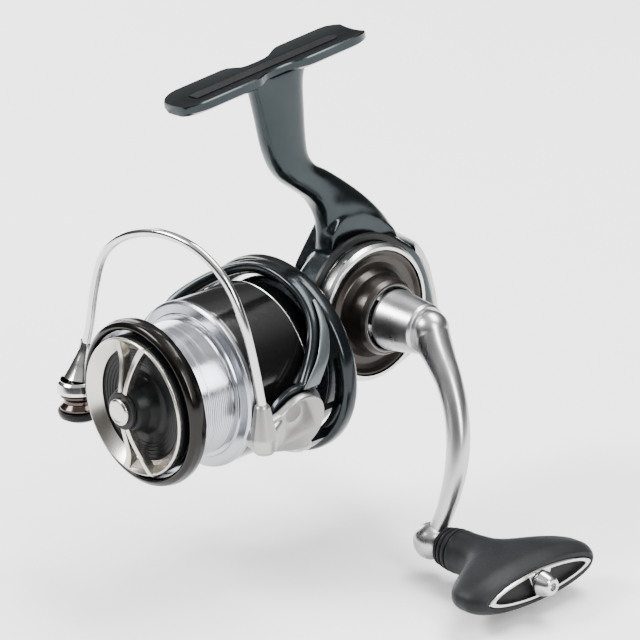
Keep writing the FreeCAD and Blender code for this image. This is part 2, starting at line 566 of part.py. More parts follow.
# ---------------------------------------------------------------- rotor
def make_rotor():
    """Rotor casting: hub drum, rear ring and two arms joined by a saddle-shaped hoop."""
    rotor = new_body("rotor", "rotor")
    wall = d.rotor_wall
    outer = d.arm_outer
    inner = d.arm_inner
    back = d.rotor_back
    revolve(rotor, [(3.98, -10.0), (wall, -10.0), (wall, 12.0), (inner - 1.2, 15.0), (inner, 11.5),
                    (inner, -10.0), (outer, -10.0), (outer, 6.0), (outer - 1.0, 12.0),
                    (d.rotor_ring, 17.5), (d.rotor_ring, back), (wall, back), (wall - 1.2, 14.0),
                    (wall - 1.2, -8.2), (3.98, -8.2)])
    # the front of the outer wall is cut back to the hoop, which rises from arm to arm
    steps = 8
    edge = []
    for index in range(-steps, steps + 1):
        share = index / steps
        climb = share * share * (3 - 2 * abs(share))
        edge.append((d.hoop_rise * climb - d.pivot_y - d.hoop_half, (outer + 1.0) * share))
    front = [(-12.0, -outer - 1.0)] + edge + [(-12.0, outer + 1.0)]
    sketch = new_sketch(rotor, "YZ_Plane")
    add_loop(sketch, front)
    trim = rotor.newObject("PartDesign::Pocket", "hoop_trim")
    trim.Profile = sketch
    trim.Length = 80
    trim.Midplane = True
    # the hub drum inside is drawn again, because the trim passes through it
    revolve(rotor, [(3.98, -10.0), (wall, -10.0), (wall, 14.0), (wall - 1.2, 14.0),
                    (wall - 1.2, -8.2), (3.98, -8.2)])
    # both arms are sunk round their pivots, where the bail's side pieces lie in them
    pivot = (-d.pivot_y, 0)
    seat_face = d.side_in - 0.3
    extrude(rotor, circle(d.lever_sunk, pivot), "YZ_Plane", 6.0, start=-seat_face - 6.0, cut=True)
    extrude(rotor, circle(d.holder_sunk, pivot), "YZ_Plane", 6.0, start=seat_face, cut=True)
    extrude(rotor, circle(5.5, pivot), "YZ_Plane", d.pivot_wall, start=-seat_face)
    extrude(rotor, circle(d.holder_sunk - 0.3, pivot), "YZ_Plane", d.pivot_wall,
            start=seat_face - d.pivot_wall)
    for side in (-1, 1):
        # windows behind the pivot, above and below a web, in each arm
        start = 22.0 if side > 0 else -32.0
        for up in (-1, 1):
            window = [(9.2, up * 0.8), (8.2, up * 4.5), (6.2, up * 8.2), (8.4, up * 11.6),
                      (10.8, up * 10.2), (13.4, up * 6.4), (13.4, up * 0.8)]
            extrude(rotor, loop(window), "YZ_Plane", 10.0, start=start, cut=True)
        start = 20.6 if side > 0 else -34.0
        extrude(rotor, circle(d.pivot_screw + 0.1, pivot), "YZ_Plane", 13.4, start=start, cut=True)
    spring = new_body("bail_spring", "rotor")
    sketch = new_sketch(spring, "YZ_Plane", (0, 0, -d.side_in - 1.3))
    add_circle(sketch, 4.2, (-d.pivot_y, 0))
    add_circle(sketch, 2.3, (-d.pivot_y, 0))
    coil = spring.newObject("PartDesign::Pad", "coil")
    coil.Profile = sketch
    coil.Length = 1.2
    nut = new_body("rotor_nut", "rotor")
    corners = []
    for index in range(6):
        angle = math.pi * index / 3
        corners.append((6.6 * math.cos(angle), 6.6 * math.sin(angle)))
    extrude(nut, loop(corners), "XZ_Plane", 3.2, start=10.05)
    extrude(nut, circle(d.pinion_radius + 0.02), "XZ_Plane", 8.0, start=8.0, cut=True)
    ring_part("clutch_sleeve", d.pinion_radius + 0.02, 6.45, -8.1, 19.0)


# ---------------------------------------------------------------- bail
def make_bail():
    """Bail wire with its two side pieces, the line roller and their screws."""
    holder = new_body("bail_holder", "rotor")
    width = d.side_out - d.side_in
    pivot = (-d.pivot_y, 0)
    extrude(holder, circle(d.pivot_disc, pivot), "YZ_Plane", width, start=d.side_in)
    lever = [(-4.0, -7.6), (-d.cone_y - 1.0, -3.6), (-d.cone_y - 3.4, -1.6), (-d.cone_y - 3.4, 2.0),
             (-d.cone_y, 4.2), (-7.4, 4.8)]
    extrude(holder, loop(lever), "YZ_Plane", width, start=d.side_in)
    revolve(holder, [(0, -3.8), (2.2, -3.8), (3.4, -2.4), (3.6, 1.0), (2.0, 9.8), (0, 9.8)],
            plane="XZ_Plane", shift=(30.6, 0.4, d.cone_y), spin=d.rotor_turn)
    extrude(holder, circle(d.pivot_screw + 0.1, pivot), "YZ_Plane", 1.9, start=d.side_in, cut=True)
    # thumb recess in the outer face, up and forward of the pivot
    extrude(holder, circle(4.2, (-4.6, 4.0)), "YZ_Plane", 2.0, start=d.side_out - 0.5, cut=True)
    screw = new_body("holder_screw", "rotor")
    revolve(screw, [(23.9, 0), (23.9, 2.5), (24.9, 2.5), (24.9, d.pivot_screw), (28.7, d.pivot_screw),
                    (28.7, 0)],
            axis="H_Axis", shift=(0, -d.pivot_y, 0))
    # the left side piece and its cap under the roller
    lever = new_body("arm_lever", "rotor")
    width = d.lever_out - d.side_in
    extrude(lever, circle(5.0, pivot), "YZ_Plane", width, start=-d.lever_out)
    outline = [(-5.6, 2.6), (-9.4, -3.4), (-12.8, -10.5), (-16.2, -17.8), (-19.0, -19.9),
               (-24.5, -20.3), (-24.5, -23.4), (-18.0, -23.4), (-12.0, -19.4), (-6.0, -11.6),
               (-1.6, -6.6), (1.6, -4.1)]
    extrude(lever, loop(outline), "YZ_Plane", width, start=-d.lever_out)
    lean_cos = Size(math.cos(math.radians(d.rotor_turn.value)), "cos(dims.rotor_turn)")
    lean_sin = Size(math.sin(math.radians(d.rotor_turn.value)), "sin(dims.rotor_turn)")
    axis_at = (-d.roller_x * lean_cos, -d.roller_x * lean_sin, d.roller_y)
    revolve(lever, [(0, -15.2), (4.6, -15.2), (6.2, -13.6), (6.2, -11.9), (0, -11.9)],
            plane="XZ_Plane", shift=axis_at, spin=d.rotor_turn)
    extrude(lever, circle(d.pivot_screw + 0.1, pivot), "YZ_Plane", 8.0, start=-34.0, cut=True)
    # seat of the spring, round the pivot
    seat = new_sketch(lever, "YZ_Plane", (0, 0, -d.side_in))
    add_circle(seat, 4.4, pivot)
    add_circle(seat, 2.1, pivot)
    pocket = lever.newObject("PartDesign::Pocket", "spring_seat")
    pocket.Profile = seat
    pocket.Length = 1.4
    revolve(lever, [(0, -14.2), (1.55, -14.2), (1.55, -8.0), (0, -8.0)],
            plane="XZ_Plane", shift=axis_at, spin=d.rotor_turn, cut=True)
    screw = new_body("lever_screw", "rotor")
    revolve(screw, [(-25.4, 0), (-25.4, d.pivot_screw), (-29.3, d.pivot_screw), (-29.3, 3.0),
                    (-30.2, 2.6), (-30.2, 0)],
            axis="H_Axis", shift=(0, -d.pivot_y, 0))
    shift = (-d.roller_x, 0, d.roller_y)
    roller = new_body("line_roller")
    radius = d.roller_radius
    revolve(roller, [(3.1, -11.7), (radius, -11.7), (radius, -11.2), (radius - 1.3, -9.9),
                     (radius - 1.3, -9.1), (radius - 0.3, -7.9), (radius - 0.3, -7.3), (3.1, -7.3)],
            plane="XZ_Plane", shift=shift)
    bearing = new_body("roller_bearing")
    revolve(bearing, [(1.56, -11.6), (3.0, -11.6), (3.0, -7.4), (1.56, -7.4)],
            plane="XZ_Plane", shift=shift)
    screw = new_body("roller_screw")
    revolve(screw, [(0, -14.0), (d.roller_pin, -14.0), (d.roller_pin, -5.5), (2.9, -5.5), (2.9, -4.2),
                    (2.2, -3.6), (0, -3.6)], plane="XZ_Plane", shift=shift)


def make_bail_wire():
    """The bent bail tube from the holder's cone to the flared end over the roller."""
    route = [Vector(28.4, -15.5, 9.4), Vector(25.9, -17.1, 19.5), Vector(21.6, -18.6, 31.0),
             Vector(14.5, -20.0, 40.8), Vector(4.0, -21.6, 45.6), Vector(-8.0, -23.3, 44.8),
             Vector(-19.0, -24.6, 39.0), Vector(-27.0, -24.5, 29.5), Vector(-31.3, -22.7, 16.5),
             Vector(-33.2, -21.3, 4.5), Vector(-33.8, -21.4, -2.5)]
    curve = Part.BSplineCurve()
    curve.interpolate(route)
    path = Part.Wire([curve.toShape()])
    section = Part.Circle(route[0], curve.tangent(curve.FirstParameter)[0], d.wire_radius.value)
    tube = path.makePipeShell([Part.Wire([section.toShape()])], True, False)
    # flared end: from the tube down to a round plate on the roller's axis
    turn = math.radians(d.rotor_turn.value)
    tube.rotate(Vector(0, 0, 0), Vector(0, 1, 0), d.rotor_turn.value)
    centre_x = -d.roller_x.value
    centre_y = -d.roller_y.value
    end = route[-1]
    end_x = end.x * math.cos(turn) + end.z * math.sin(turn)
    end_z = end.z * math.cos(turn) - end.x * math.sin(turn)
    flare_top = Part.Circle(Vector(end_x, end.y, end_z + 0.5), Vector(0, 0, 1), 1.7)
    flare_low = Part.Circle(Vector(centre_x, centre_y, -5.4), Vector(0, 0, 1), 5.8)
    flare = Part.makeLoft([Part.Wire([flare_top.toShape()]), Part.Wire([flare_low.toShape()])], True)
    plate = Part.makeCylinder(6.0, 1.5, Vector(centre_x, centre_y, -6.9))
    recess = Part.makeCylinder(4.0, 7.0, Vector(centre_x, centre_y, -5.5))
    recess = recess.fuse(Part.makeCylinder(4.0, 7.0, Vector(centre_x + 1.5, centre_y - 2.5, -5.5)))
    hole = Part.makeCylinder(d.roller_pin.value + 0.05, 6.0, Vector(centre_x, centre_y, -9.0))
    coded("bail_end", flare.fuse(plate).cut(recess).cut(hole))
    flare_cut = Part.makeCylinder(6.0, 8.0, Vector(end_x, end.y, end_z - 7.5))
    coded("bail_wire", tube.cut(flare_cut))


# ---------------------------------------------------------------- handle
def oval(at_x, half_y, half_z):
    """A closed smooth outline square to X, for the loft of the grip."""
    points = []
    corners = 16
    for index in range(corners):
        angle = 2 * math.pi * index / corners
        points.append(Vector(at_x, half_y * math.cos(angle), half_z * math.sin(angle)))
    curve = Part.BSplineCurve()
    curve.interpolate(points, PeriodicFlag=True)
    return Part.Wire([curve.toShape()])


def make_handle():
    """Cone, screw-in shaft and the curved arm that carries the knob."""
    collar = new_body("handle_collar", "handle")
    revolve(collar, [(d.cone_start, 2.4), (d.cone_start, d.cone_base), (20.9, d.cone_base),
                     (31.9, d.cone_tip), (d.cone_end, d.cone_tip - 0.5), (d.cone_end, 2.4)],
            axis="H_Axis")
    shaft = new_body("handle_shaft", "handle")
    revolve(shaft, [(-10.0, 0), (-10.0, 2.35), (31.4, 2.35), (31.4, 0)], axis="H_Axis")
    end_x = d.arm_end_x.value
    end_z = -d.arm_length.value
    # middle line of the arm, outwards along X and down, with its half width
    spine = [(34.9, -1.4, 3.9), (38.2, -4.2, 3.4), (43.0, -9.6, 3.2), (47.0, -15.8, 3.15),
             (49.6, -23.0, 3.2), (50.4, -30.8, 3.2), (49.9, -39.2, 3.05), (48.4, -46.4, 2.85),
             (end_x + 1.0, end_z + 2.1, 3.0)]
    sections = []
    corners = 12
    for index, (across, up, half) in enumerate(spine):
        before = spine[max(index - 1, 0)]
        after = spine[min(index + 1, len(spine) - 1)]
        along = Vector(after[0] - before[0], 0, after[1] - before[1]).normalize()
        side = Vector(0, 1, 0).cross(along)
        ring = []
        for corner in range(corners):
            angle = 2 * math.pi * corner / corners
            deep = Vector(0, d.arm_thick.value / 2 * math.sin(angle), 0)
            ring.append(Vector(across, 0, up) + side * (half * math.cos(angle)) + deep)
        curve = Part.BSplineCurve()
        curve.interpolate(ring, PeriodicFlag=True)
        sections.append(Part.Wire([curve.toShape()]))
    arm = Part.makeLoft(sections, True)
    ball = d.arm_ball.value
    root = Part.makeSphere(ball, Vector(d.arm_root_x.value, 0, 0.5))
    tip = Part.makeSphere(ball, Vector(end_x, 0, end_z))
    outward = Vector(1, 0, 0)
    collar_space = Part.makeCylinder(9.0, 10.0, Vector(d.cone_end.value - 9.95, 0, 0), outward)
    bore = Part.makeCylinder(d.knob_pin.value, 20.0, Vector(end_x - 3.6, 0, end_z), outward)
    seat = Part.makeCylinder(7.2, 12.0, Vector(end_x + ball, 0, end_z), outward)
    coded("handle_arm", arm.fuse([root, tip]).cut([collar_space, bore, seat]), "crank")


def make_knob():
    """T-shaped knob on its pin, with two bearings, a washer, a bright frame and a screw."""
    pin = d.knob_pin
    gap = pin + d.shaft_gap
    seat = d.arm_end_x + d.arm_ball
    front = d.grip_front

    def about_pin(label, points):
        body = new_body(label, "knob")
        revolve(body, points, axis="H_Axis")
        return body

    def bearing_at(start):
        return [(start, gap), (start, 4.0), (start + 3.0, 4.0), (start + 3.0, gap)]

    pin_start = d.arm_end_x - 3.5
    about_pin("knob_shaft", [(pin_start, 0), (pin_start, pin), (front - 1.6, pin), (front - 1.6, 0)])
    about_pin("knob_washer", [(seat + 0.3, gap), (seat + 0.3, 5.3), (seat + 1.3, 5.3),
                              (seat + 1.3, gap)])
    bearings = about_pin("knob_bearings", bearing_at(seat + 3.1))
    revolve(bearings, bearing_at(front - 5.6), axis="H_Axis")
    half_length = d.grip_length.value / 2
    half_height = d.grip_height.value / 2
    neck = d.neck_radius.value
    end = front.value
    # cross sections of the grip: place along the pin, half length and half height
    start = seat.value + 1.7
    profile = [(start, neck - 0.5, neck - 0.5), (start + 2.2, neck, neck),
               (start + 11.5, neck + 0.5, neck + 0.2), (end - 15.6, 0.5 * half_length, half_height - 0.4),
               (end - 10.4, 0.92 * half_length, half_height), (end - 5.5, half_length, half_height),
               (end - 1.6, half_length - 0.8, half_height - 0.7),
               (end, half_length - 2.6, half_height - 2.2)]
    grip = Part.makeLoft([oval(*section) for section in profile], True)
    grip = grip.cut(Part.makeCylinder(4.02, 60, Vector(40, 0, 0), Vector(1, 0, 0)))
    recess = Part.Face(oval(end - 1.2, 18.5, 4.3)).extrude(Vector(4, 0, 0))
    coded("knob_grip", grip.cut(recess), "knob")
    plate = Part.Face(oval(end - 1.1, 18.2, 4.0)).extrude(Vector(1.4, 0, 0))
    opening = Part.Face(oval(end - 7.0, 15.1, 2.45)).extrude(Vector(9, 0, 0))
    bridge = Part.makeBox(1.4, 7.8, 6.4, Vector(end - 1.1, -3.9, -3.2))
    hole = Part.makeCylinder(1.3, 9, Vector(end - 7.0, 0, 0), Vector(1, 0, 0))
    coded("knob_frame", plate.cut(opening).fuse(bridge).cut(hole), "knob")
    about_pin("knob_screw", [(front - 1.5, 0), (front - 1.5, 1.25), (front + 0.35, 1.25),
                             (front + 0.35, 3.5), (front + 4.3, 2.35), (front + 4.6, 2.0),
                             (front + 4.6, 1.1), (front + 3.2, 1.1), (front + 3.2, 0)])


make_main_body()
make_case_covers()
make_gears()
make_spool()
make_drag_knob()
make_rotor()
make_bail()
make_bail_wire()
make_handle()
make_knob()
doc.recompute()

# ---------------------------------------------------------------- check and export
def check(item):
    """Stop on anything that failed to rebuild."""
    if "Invalid" in item.State or "Error" in item.State:
        raise RuntimeError(item.Label + " failed to rebuild")


for item in doc.Objects:
    check(item)
for item in parts:
    if item.Shape.isNull() or not item.Shape.isValid():
        raise RuntimeError(item.Label + " has no valid shape")
os.makedirs("parts", exist_ok=True)
for item in parts:
    item.Shape.exportStep("parts/" + item.Label + ".step")
print(len(parts), "parts written")
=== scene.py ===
import json
import math

import bmesh
import bpy
from mathutils import Matrix, Vector


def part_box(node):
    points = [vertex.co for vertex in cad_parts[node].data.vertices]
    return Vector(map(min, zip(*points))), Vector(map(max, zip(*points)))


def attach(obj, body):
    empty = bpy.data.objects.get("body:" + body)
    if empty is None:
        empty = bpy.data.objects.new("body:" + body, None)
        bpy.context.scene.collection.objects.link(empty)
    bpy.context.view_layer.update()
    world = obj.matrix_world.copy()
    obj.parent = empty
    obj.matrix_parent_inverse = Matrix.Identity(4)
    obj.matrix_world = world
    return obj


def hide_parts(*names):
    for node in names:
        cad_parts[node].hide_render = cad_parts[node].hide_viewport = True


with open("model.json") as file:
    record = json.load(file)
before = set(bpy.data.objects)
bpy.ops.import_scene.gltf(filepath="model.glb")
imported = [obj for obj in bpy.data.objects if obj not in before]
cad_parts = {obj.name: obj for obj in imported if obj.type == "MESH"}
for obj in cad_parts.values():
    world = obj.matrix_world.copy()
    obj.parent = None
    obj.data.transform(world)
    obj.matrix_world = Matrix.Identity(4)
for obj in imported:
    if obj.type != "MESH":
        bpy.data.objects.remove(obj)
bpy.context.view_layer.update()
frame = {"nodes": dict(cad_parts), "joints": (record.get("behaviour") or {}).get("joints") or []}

# The reel's looks. Lengths below are millimetres in one of three frames, which are read from
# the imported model: the shaft frame (-Y to the drag knob, +Z to the foot), the rotor frame
# (the same, turned so that the arms lie along X) and the handle frame (X along the crank axis).
MM = 0.001


def node_middle(node):
    low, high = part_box(node)
    return (Vector(low) + Vector(high)) / 2


LIP_FRONT = 32.7
shaft_at = Vector((0.0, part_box("spool_lip")[0][1] + LIP_FRONT * MM, node_middle("main_shaft").z))
handle_at = Vector((0.0, node_middle("plate_ring").y, node_middle("plate_ring").z))
bail_axis = [joint["axis"] for joint in frame["joints"] if joint["name"] == "bail_hinge"][0]
ROTOR_TURN = math.atan2(bail_axis[2], -bail_axis[0])

SHAFT = Matrix.Translation(shaft_at) @ Matrix.Scale(MM, 4)
HANDLE = Matrix.Translation(handle_at) @ Matrix.Scale(MM, 4)
ROTOR = SHAFT @ Matrix.Rotation(ROTOR_TURN, 4, "Y")


# ------------------------------------------------------------------ materials
def material(name):
    """An empty node material with its shader and coordinates."""
    mat = bpy.data.materials.new(name)
    mat.use_nodes = True
    nodes = mat.node_tree.nodes
    shader = nodes["Principled BSDF"]
    coords = nodes.new("ShaderNodeTexCoord")
    return mat, shader, coords


def link(mat, start, end):
    mat.node_tree.links.new(start, end)


def noise(mat, coords, scale, detail=3.0, stretch=(1, 1, 1)):
    """Noise in the object's own metres, stretched by axis."""
    nodes = mat.node_tree.nodes
    mapping = nodes.new("ShaderNodeMapping")
    mapping.inputs["Scale"].default_value = stretch
    field = nodes.new("ShaderNodeTexNoise")
    field.inputs["Scale"].default_value = scale
    field.inputs["Detail"].default_value = detail
    link(mat, coords.outputs["Object"], mapping.inputs["Vector"])
    link(mat, mapping.outputs["Vector"], field.inputs["Vector"])
    return field.outputs["Fac"]


def spread(mat, field, low, high):
    """The middle of a noise field, 0.3 to 0.7, mapped to the range low to high."""
    node = mat.node_tree.nodes.new("ShaderNodeMapRange")
    node.inputs["From Min"].default_value = 0.3
    node.inputs["From Max"].default_value = 0.7
    node.inputs["To Min"].default_value = low
    node.inputs["To Max"].default_value = high
    link(mat, field, node.inputs["Value"])
    return node.outputs["Result"]


def tint(mat, field, dark, light):
    """A colour between dark and light by a field."""
    ramp = mat.node_tree.nodes.new("ShaderNodeValToRGB")
    ramp.color_ramp.elements[0].position = 0.3
    ramp.color_ramp.elements[0].color = (*dark, 1)
    ramp.color_ramp.elements[1].position = 0.7
    ramp.color_ramp.elements[1].color = (*light, 1)
    link(mat, field, ramp.inputs["Fac"])
    return ramp.outputs["Color"]


def bump(mat, shader, field, height):
    node = mat.node_tree.nodes.new("ShaderNodeBump")
    node.inputs["Distance"].default_value = height
    link(mat, field, node.inputs["Height"])
    link(mat, node.outputs["Normal"], shader.inputs["Normal"])


def painted(name, dark, light, rough, metallic=0.6, coat=0.6, grain=900.0, flake=0.00001):
    """Metallic paint under clear coat: fine flake, slow colour drift, slight orange peel."""
    mat, shader, coords = material(name)
    drift = noise(mat, coords, 60.0)
    link(mat, tint(mat, drift, dark, light), shader.inputs["Base Color"])
    shader.inputs["Metallic"].default_value = metallic
    shader.inputs["Coat Weight"].default_value = coat
    shader.inputs["Coat Roughness"].default_value = 0.06
    fine = noise(mat, coords, grain, 2.0)
    link(mat, spread(mat, fine, rough * 0.85, rough * 1.15), shader.inputs["Roughness"])
    bump(mat, shader, fine, flake)
    return mat


def turned(name, dark, light, rough, axis, pitch=0.00022, depth=0.000012):
    """Metal cut on a lathe: fine rings round the given axis, with streaks in its roughness."""
    mat, shader, coords = material(name)
    stretch = {"X": (1, 0.02, 0.02), "Y": (0.02, 1, 0.02), "Z": (0.02, 0.02, 1)}[axis]
    rings = noise(mat, coords, 1.0 / (pitch * 4), 4.0, stretch)
    link(mat, tint(mat, rings, dark, light), shader.inputs["Base Color"])
    shader.inputs["Metallic"].default_value = 1.0
    link(mat, spread(mat, rings, rough * 0.7, rough * 1.3), shader.inputs["Roughness"])
    bump(mat, shader, rings, depth)
    return mat


def polished(name, dark, light, rough, smear=180.0):
    """Polished or satin metal with faint buffing marks."""
    mat, shader, coords = material(name)
    marks = noise(mat, coords, smear, 5.0, (1, 1, 0.25))
    link(mat, tint(mat, marks, dark, light), shader.inputs["Base Color"])
    shader.inputs["Metallic"].default_value = 1.0
    link(mat, spread(mat, marks, rough * 0.9, rough * 1.1), shader.inputs["Roughness"])
    bump(mat, shader, marks, 0.000004)
    return mat


def dull(name, dark, light, rough, grain=1800.0, height=0.00003, specular=0.4):
    """Rubber, moulded resin or fibre: grainy and matt."""
    mat, shader, coords = material(name)
    drift = noise(mat, coords, 120.0)
    link(mat, tint(mat, drift, dark, light), shader.inputs["Base Color"])
    shader.inputs["Specular IOR Level"].default_value = specular
    fine = noise(mat, coords, grain, 4.0)
    link(mat, spread(mat, fine, rough * 0.9, rough * 1.1), shader.inputs["Roughness"])
    bump(mat, shader, fine, height)
    return mat


GUNMETAL = painted("gunmetal_paint", (0.015, 0.020, 0.022), (0.027, 0.034, 0.037), 0.22, 0.9, 0.12)
GUNMETAL_LIGHT = painted("gunmetal_light", (0.13, 0.15, 0.15), (0.17, 0.19, 0.19), 0.30, 0.7, 0.4)
# near-black for the real saddle strip, and for the painted shade band round the side plate
STRIP_AND_SHADE_BLACK = dull("strip_and_painted_shade_black", (0.003, 0.0035, 0.004), (0.006, 0.0065, 0.007), 0.40, 900.0, 0.000006,
                   0.2)
BRONZE = painted("bronze_black", (0.030, 0.026, 0.023), (0.046, 0.040, 0.036), 0.33, 0.9, 0.1)
LIP_BRONZE = painted("lip_bronze", (0.009, 0.008, 0.0075), (0.016, 0.0145, 0.013), 0.20, 0.9, 0.2)
CHROME = polished("polished_ring", (0.52, 0.52, 0.51), (0.60, 0.60, 0.59), 0.22)
SILVER_PAINT = painted("silver_paint", (0.42, 0.43, 0.41), (0.50, 0.51, 0.48), 0.34, 0.5, 0.3)
SATIN = polished("satin_aluminium", (0.42, 0.42, 0.43), (0.50, 0.50, 0.51), 0.29)
DRUM = turned("spool_aluminium", (0.36, 0.37, 0.40), (0.48, 0.49, 0.53), 0.22, "Y")
SKIRT = painted("skirt_black", (0.004, 0.004, 0.004), (0.007, 0.0065, 0.0065), 0.16, 0.4, 0.35)
KNOB_BLACK = dull("knob_black", (0.0025, 0.003, 0.0035), (0.005, 0.0055, 0.006), 0.32, 900.0, 0.000006,
                  0.14)
CHAMPAGNE = polished("champagne_metal", (0.50, 0.475, 0.43), (0.60, 0.575, 0.53), 0.24)
ROTOR_PAINT = painted("rotor_paint", (0.010, 0.013, 0.015), (0.018, 0.022, 0.025), 0.24, 0.85, 0.2)
ROTOR_EDGE = painted("rotor_edge", (0.085, 0.10, 0.105), (0.12, 0.135, 0.14), 0.34, 0.7, 0.2)
PEARL = polished("pearl_silver", (0.34, 0.335, 0.32), (0.38, 0.375, 0.36), 0.36, 60.0)
WIRE = polished("wire_steel", (0.56, 0.56, 0.55), (0.64, 0.64, 0.63), 0.14)
ROLLER = turned("roller_coat", (0.050, 0.038, 0.034), (0.085, 0.066, 0.060), 0.14, "Z")
BLACK_STEEL = painted("black_screw", (0.010, 0.010, 0.011), (0.018, 0.018, 0.020), 0.22, 0.8, 0.2)
RUBBER = dull("grip_rubber", (0.006, 0.0065, 0.0075), (0.011, 0.012, 0.0135), 0.50, specular=0.16)
BLACK_RESIN = dull("black_resin", (0.006, 0.006, 0.007), (0.010, 0.010, 0.011), 0.45, specular=0.15)
FRAME_CHROME = polished("bright_frame", (0.48, 0.48, 0.47), (0.58, 0.58, 0.57), 0.20)
STEEL_Y = turned("shaft_steel", (0.52, 0.53, 0.54), (0.62, 0.63, 0.64), 0.22, "Y")
STEEL_X = turned("shaft_steel_across", (0.52, 0.53, 0.54), (0.62, 0.63, 0.64), 0.22, "X")
BEARING = turned("bearing_steel", (0.50, 0.51, 0.52), (0.60, 0.61, 0.62), 0.18, "Y")
BRASS = turned("bronze_bush", (0.52, 0.37, 0.18), (0.62, 0.46, 0.25), 0.28, "Y")
ALLOY = turned("gear_alloy", (0.50, 0.50, 0.49), (0.60, 0.60, 0.59), 0.32, "X")
RESIN = dull("gear_resin", (0.62, 0.60, 0.54), (0.70, 0.68, 0.62), 0.40)
FIBRE = dull("drag_fibre", (0.05, 0.045, 0.04), (0.09, 0.08, 0.07), 0.75)
SPRING = turned("spring_steel", (0.40, 0.40, 0.41), (0.50, 0.50, 0.51), 0.25, "Z")


# ------------------------------------------------------------------ mesh tools
SHARP = 32.0  # degrees between two faces from which their edge stays crisp


def rounded(step, count, exponent):
    """A point of a unit circle, squared off by an exponent below 1: (across, up)."""
    turn = 2 * math.pi * step / count
    return [math.copysign(abs(value) ** exponent, value) for value in (math.cos(turn), math.sin(turn))]


def make_object(name, verts, faces, place, mat, sharp=SHARP):
    """A mesh object from millimetre points in a frame, with its faces turned outwards."""
    mesh = bpy.data.meshes.new(name)
    mesh.from_pydata([place @ Vector(vert) for vert in verts], [], faces)
    work = bmesh.new()
    work.from_mesh(mesh)
    bmesh.ops.remove_doubles(work, verts=work.verts, dist=0.000002)
    bmesh.ops.recalc_face_normals(work, faces=work.faces)
    work.to_mesh(mesh)
    work.free()
    mesh.materials.append(mat)
    mesh.shade_smooth()
    mesh.set_sharp_from_angle(angle=math.radians(sharp))
    obj = bpy.data.objects.new(name, mesh)
    bpy.context.scene.collection.objects.link(obj)
    return obj


def soften(points):
    """Round the corners of a closed outline. Each point is (a, b) or (a, b, corner radius)."""
    count = len(points)
    result = []
    for index, point in enumerate(points):
        here = Vector(point[:2])
        radius = point[2] if len(point) > 2 else 0.0
        if radius <= 0:
            result.append(here)
            continue
        before = Vector(points[index - 1][:2])
        after = Vector(points[(index + 1) % count][:2])
        into = (before - here).normalized()
        out = (after - here).normalized()
        half = into.angle(out) / 2
        cut = radius / math.tan(half)
        cut = min(cut, (before - here).length * 0.49, (after - here).length * 0.49)
        start = here + into * cut
        end = here + out * cut
        steps = 5
        for step in range(steps + 1):
            share = step / steps
            result.append(start.lerp(here, share).lerp(here.lerp(end, share), share))
    return result


def lathe(name, outline, place, mat, axis="Y", steps=144, sharp=SHARP):
    """Turn an outline of (along, radius[, corner radius]) points round an axis."""
    ring = soften(outline)
    verts = []
    for step in range(steps):
        angle = 2 * math.pi * step / steps
        across, up = math.cos(angle), math.sin(angle)
        for along, radius in ring:
            point = {"X": (along, radius * across, radius * up),
                     "Y": (radius * across, along, radius * up),
                     "Z": (radius * across, radius * up, along)}[axis]
            verts.append(point)
    count = len(ring)
    faces = []
    for step in range(steps):
        here = step * count
        there = ((step + 1) % steps) * count
        for index in range(count):
            after = (index + 1) % count
            faces.append((here + index, here + after, there + after, there + index))
    return make_object(name, verts, faces, place, mat, sharp)


def catmull(values, share):
    """A smooth curve through a list of equal-length tuples, at share 0 to 1."""
    spans = len(values) - 1
    place = min(share * spans, spans - 1e-9)
    index = int(place)
    t = place - index
    pick = [values[max(0, min(spans, index + k))] for k in (-1, 0, 1, 2)]
    result = []
    for a, b, c, e in zip(*pick):
        result.append(0.5 * (2 * b + (c - a) * t + (2 * a - 5 * b + 4 * c - e) * t * t
                             + (3 * b - a - 3 * c + e) * t * t * t))
    return result


def skin(name, rings, place, mat, sharp=SHARP):
    """A closed skin over rings of equal point counts, with its ends filled."""
    count = len(rings[0])
    verts = [point for ring in rings for point in ring]
    faces = []
    for level in range(len(rings) - 1):
        for index in range(count):
            after = (index + 1) % count
            faces.append((level * count + index, level * count + after,
                          (level + 1) * count + after, (level + 1) * count + index))
    for level in (0, len(rings) - 1):
        middle = sum((Vector(point) for point in rings[level]), Vector()) / count
        verts.append(tuple(middle))
        hub = len(verts) - 1
        for index in range(count):
            after = (index + 1) % count
            faces.append((level * count + index, level * count + after, hub))
    return make_object(name, verts, faces, place, mat, sharp)


def slab(name, outline, low, high, place, mat, bevel):
    """A plate with its outline in YZ between two places along X, its edges rounded."""
    ring = soften(outline)
    verts = [(at_x, along, up) for along, up in ring for at_x in (low, high)]
    total = len(verts)
    faces = [list(range(0, total, 2)), list(range(total - 1, 0, -2))]
    for index in range(0, total, 2):
        after = (index + 2) % total
        faces.append((index, index + 1, after + 1, after))
    obj = make_object(name, verts, faces, place, mat)
    edge = obj.modifiers.new("edge", "BEVEL")
    edge.width = bevel * MM
    edge.segments = 3
    edge.limit_method = "ANGLE"
    edge.angle_limit = math.radians(40)
    return settle(obj)


def settle(obj):
    """Apply an object's modifiers to its mesh."""
    graph = bpy.context.evaluated_depsgraph_get()
    mesh = bpy.data.meshes.new_from_object(obj.evaluated_get(graph))
    obj.modifiers.clear()
    obj.data = mesh
    mesh.shade_smooth()
    mesh.set_sharp_from_angle(angle=math.radians(SHARP))
    return obj


def combine(obj, other, operation):
    """Boolean of two objects; the other is used up."""
    tool = obj.modifiers.new("shape", "BOOLEAN")
    tool.operation = operation
    tool.solver = "EXACT"
    tool.object = other
    settle(obj)
    bpy.data.objects.remove(other)
    return obj


def join(name, objects):
    """One object from several, each keeping its materials."""
    for obj in objects:
        if obj.modifiers:
            settle(obj)
    keep = objects[0]
    with bpy.context.temp_override(active_object=keep, object=keep, selected_objects=objects,
                                   selected_editable_objects=objects):
        bpy.ops.object.join()
    keep.name = name
    return keep


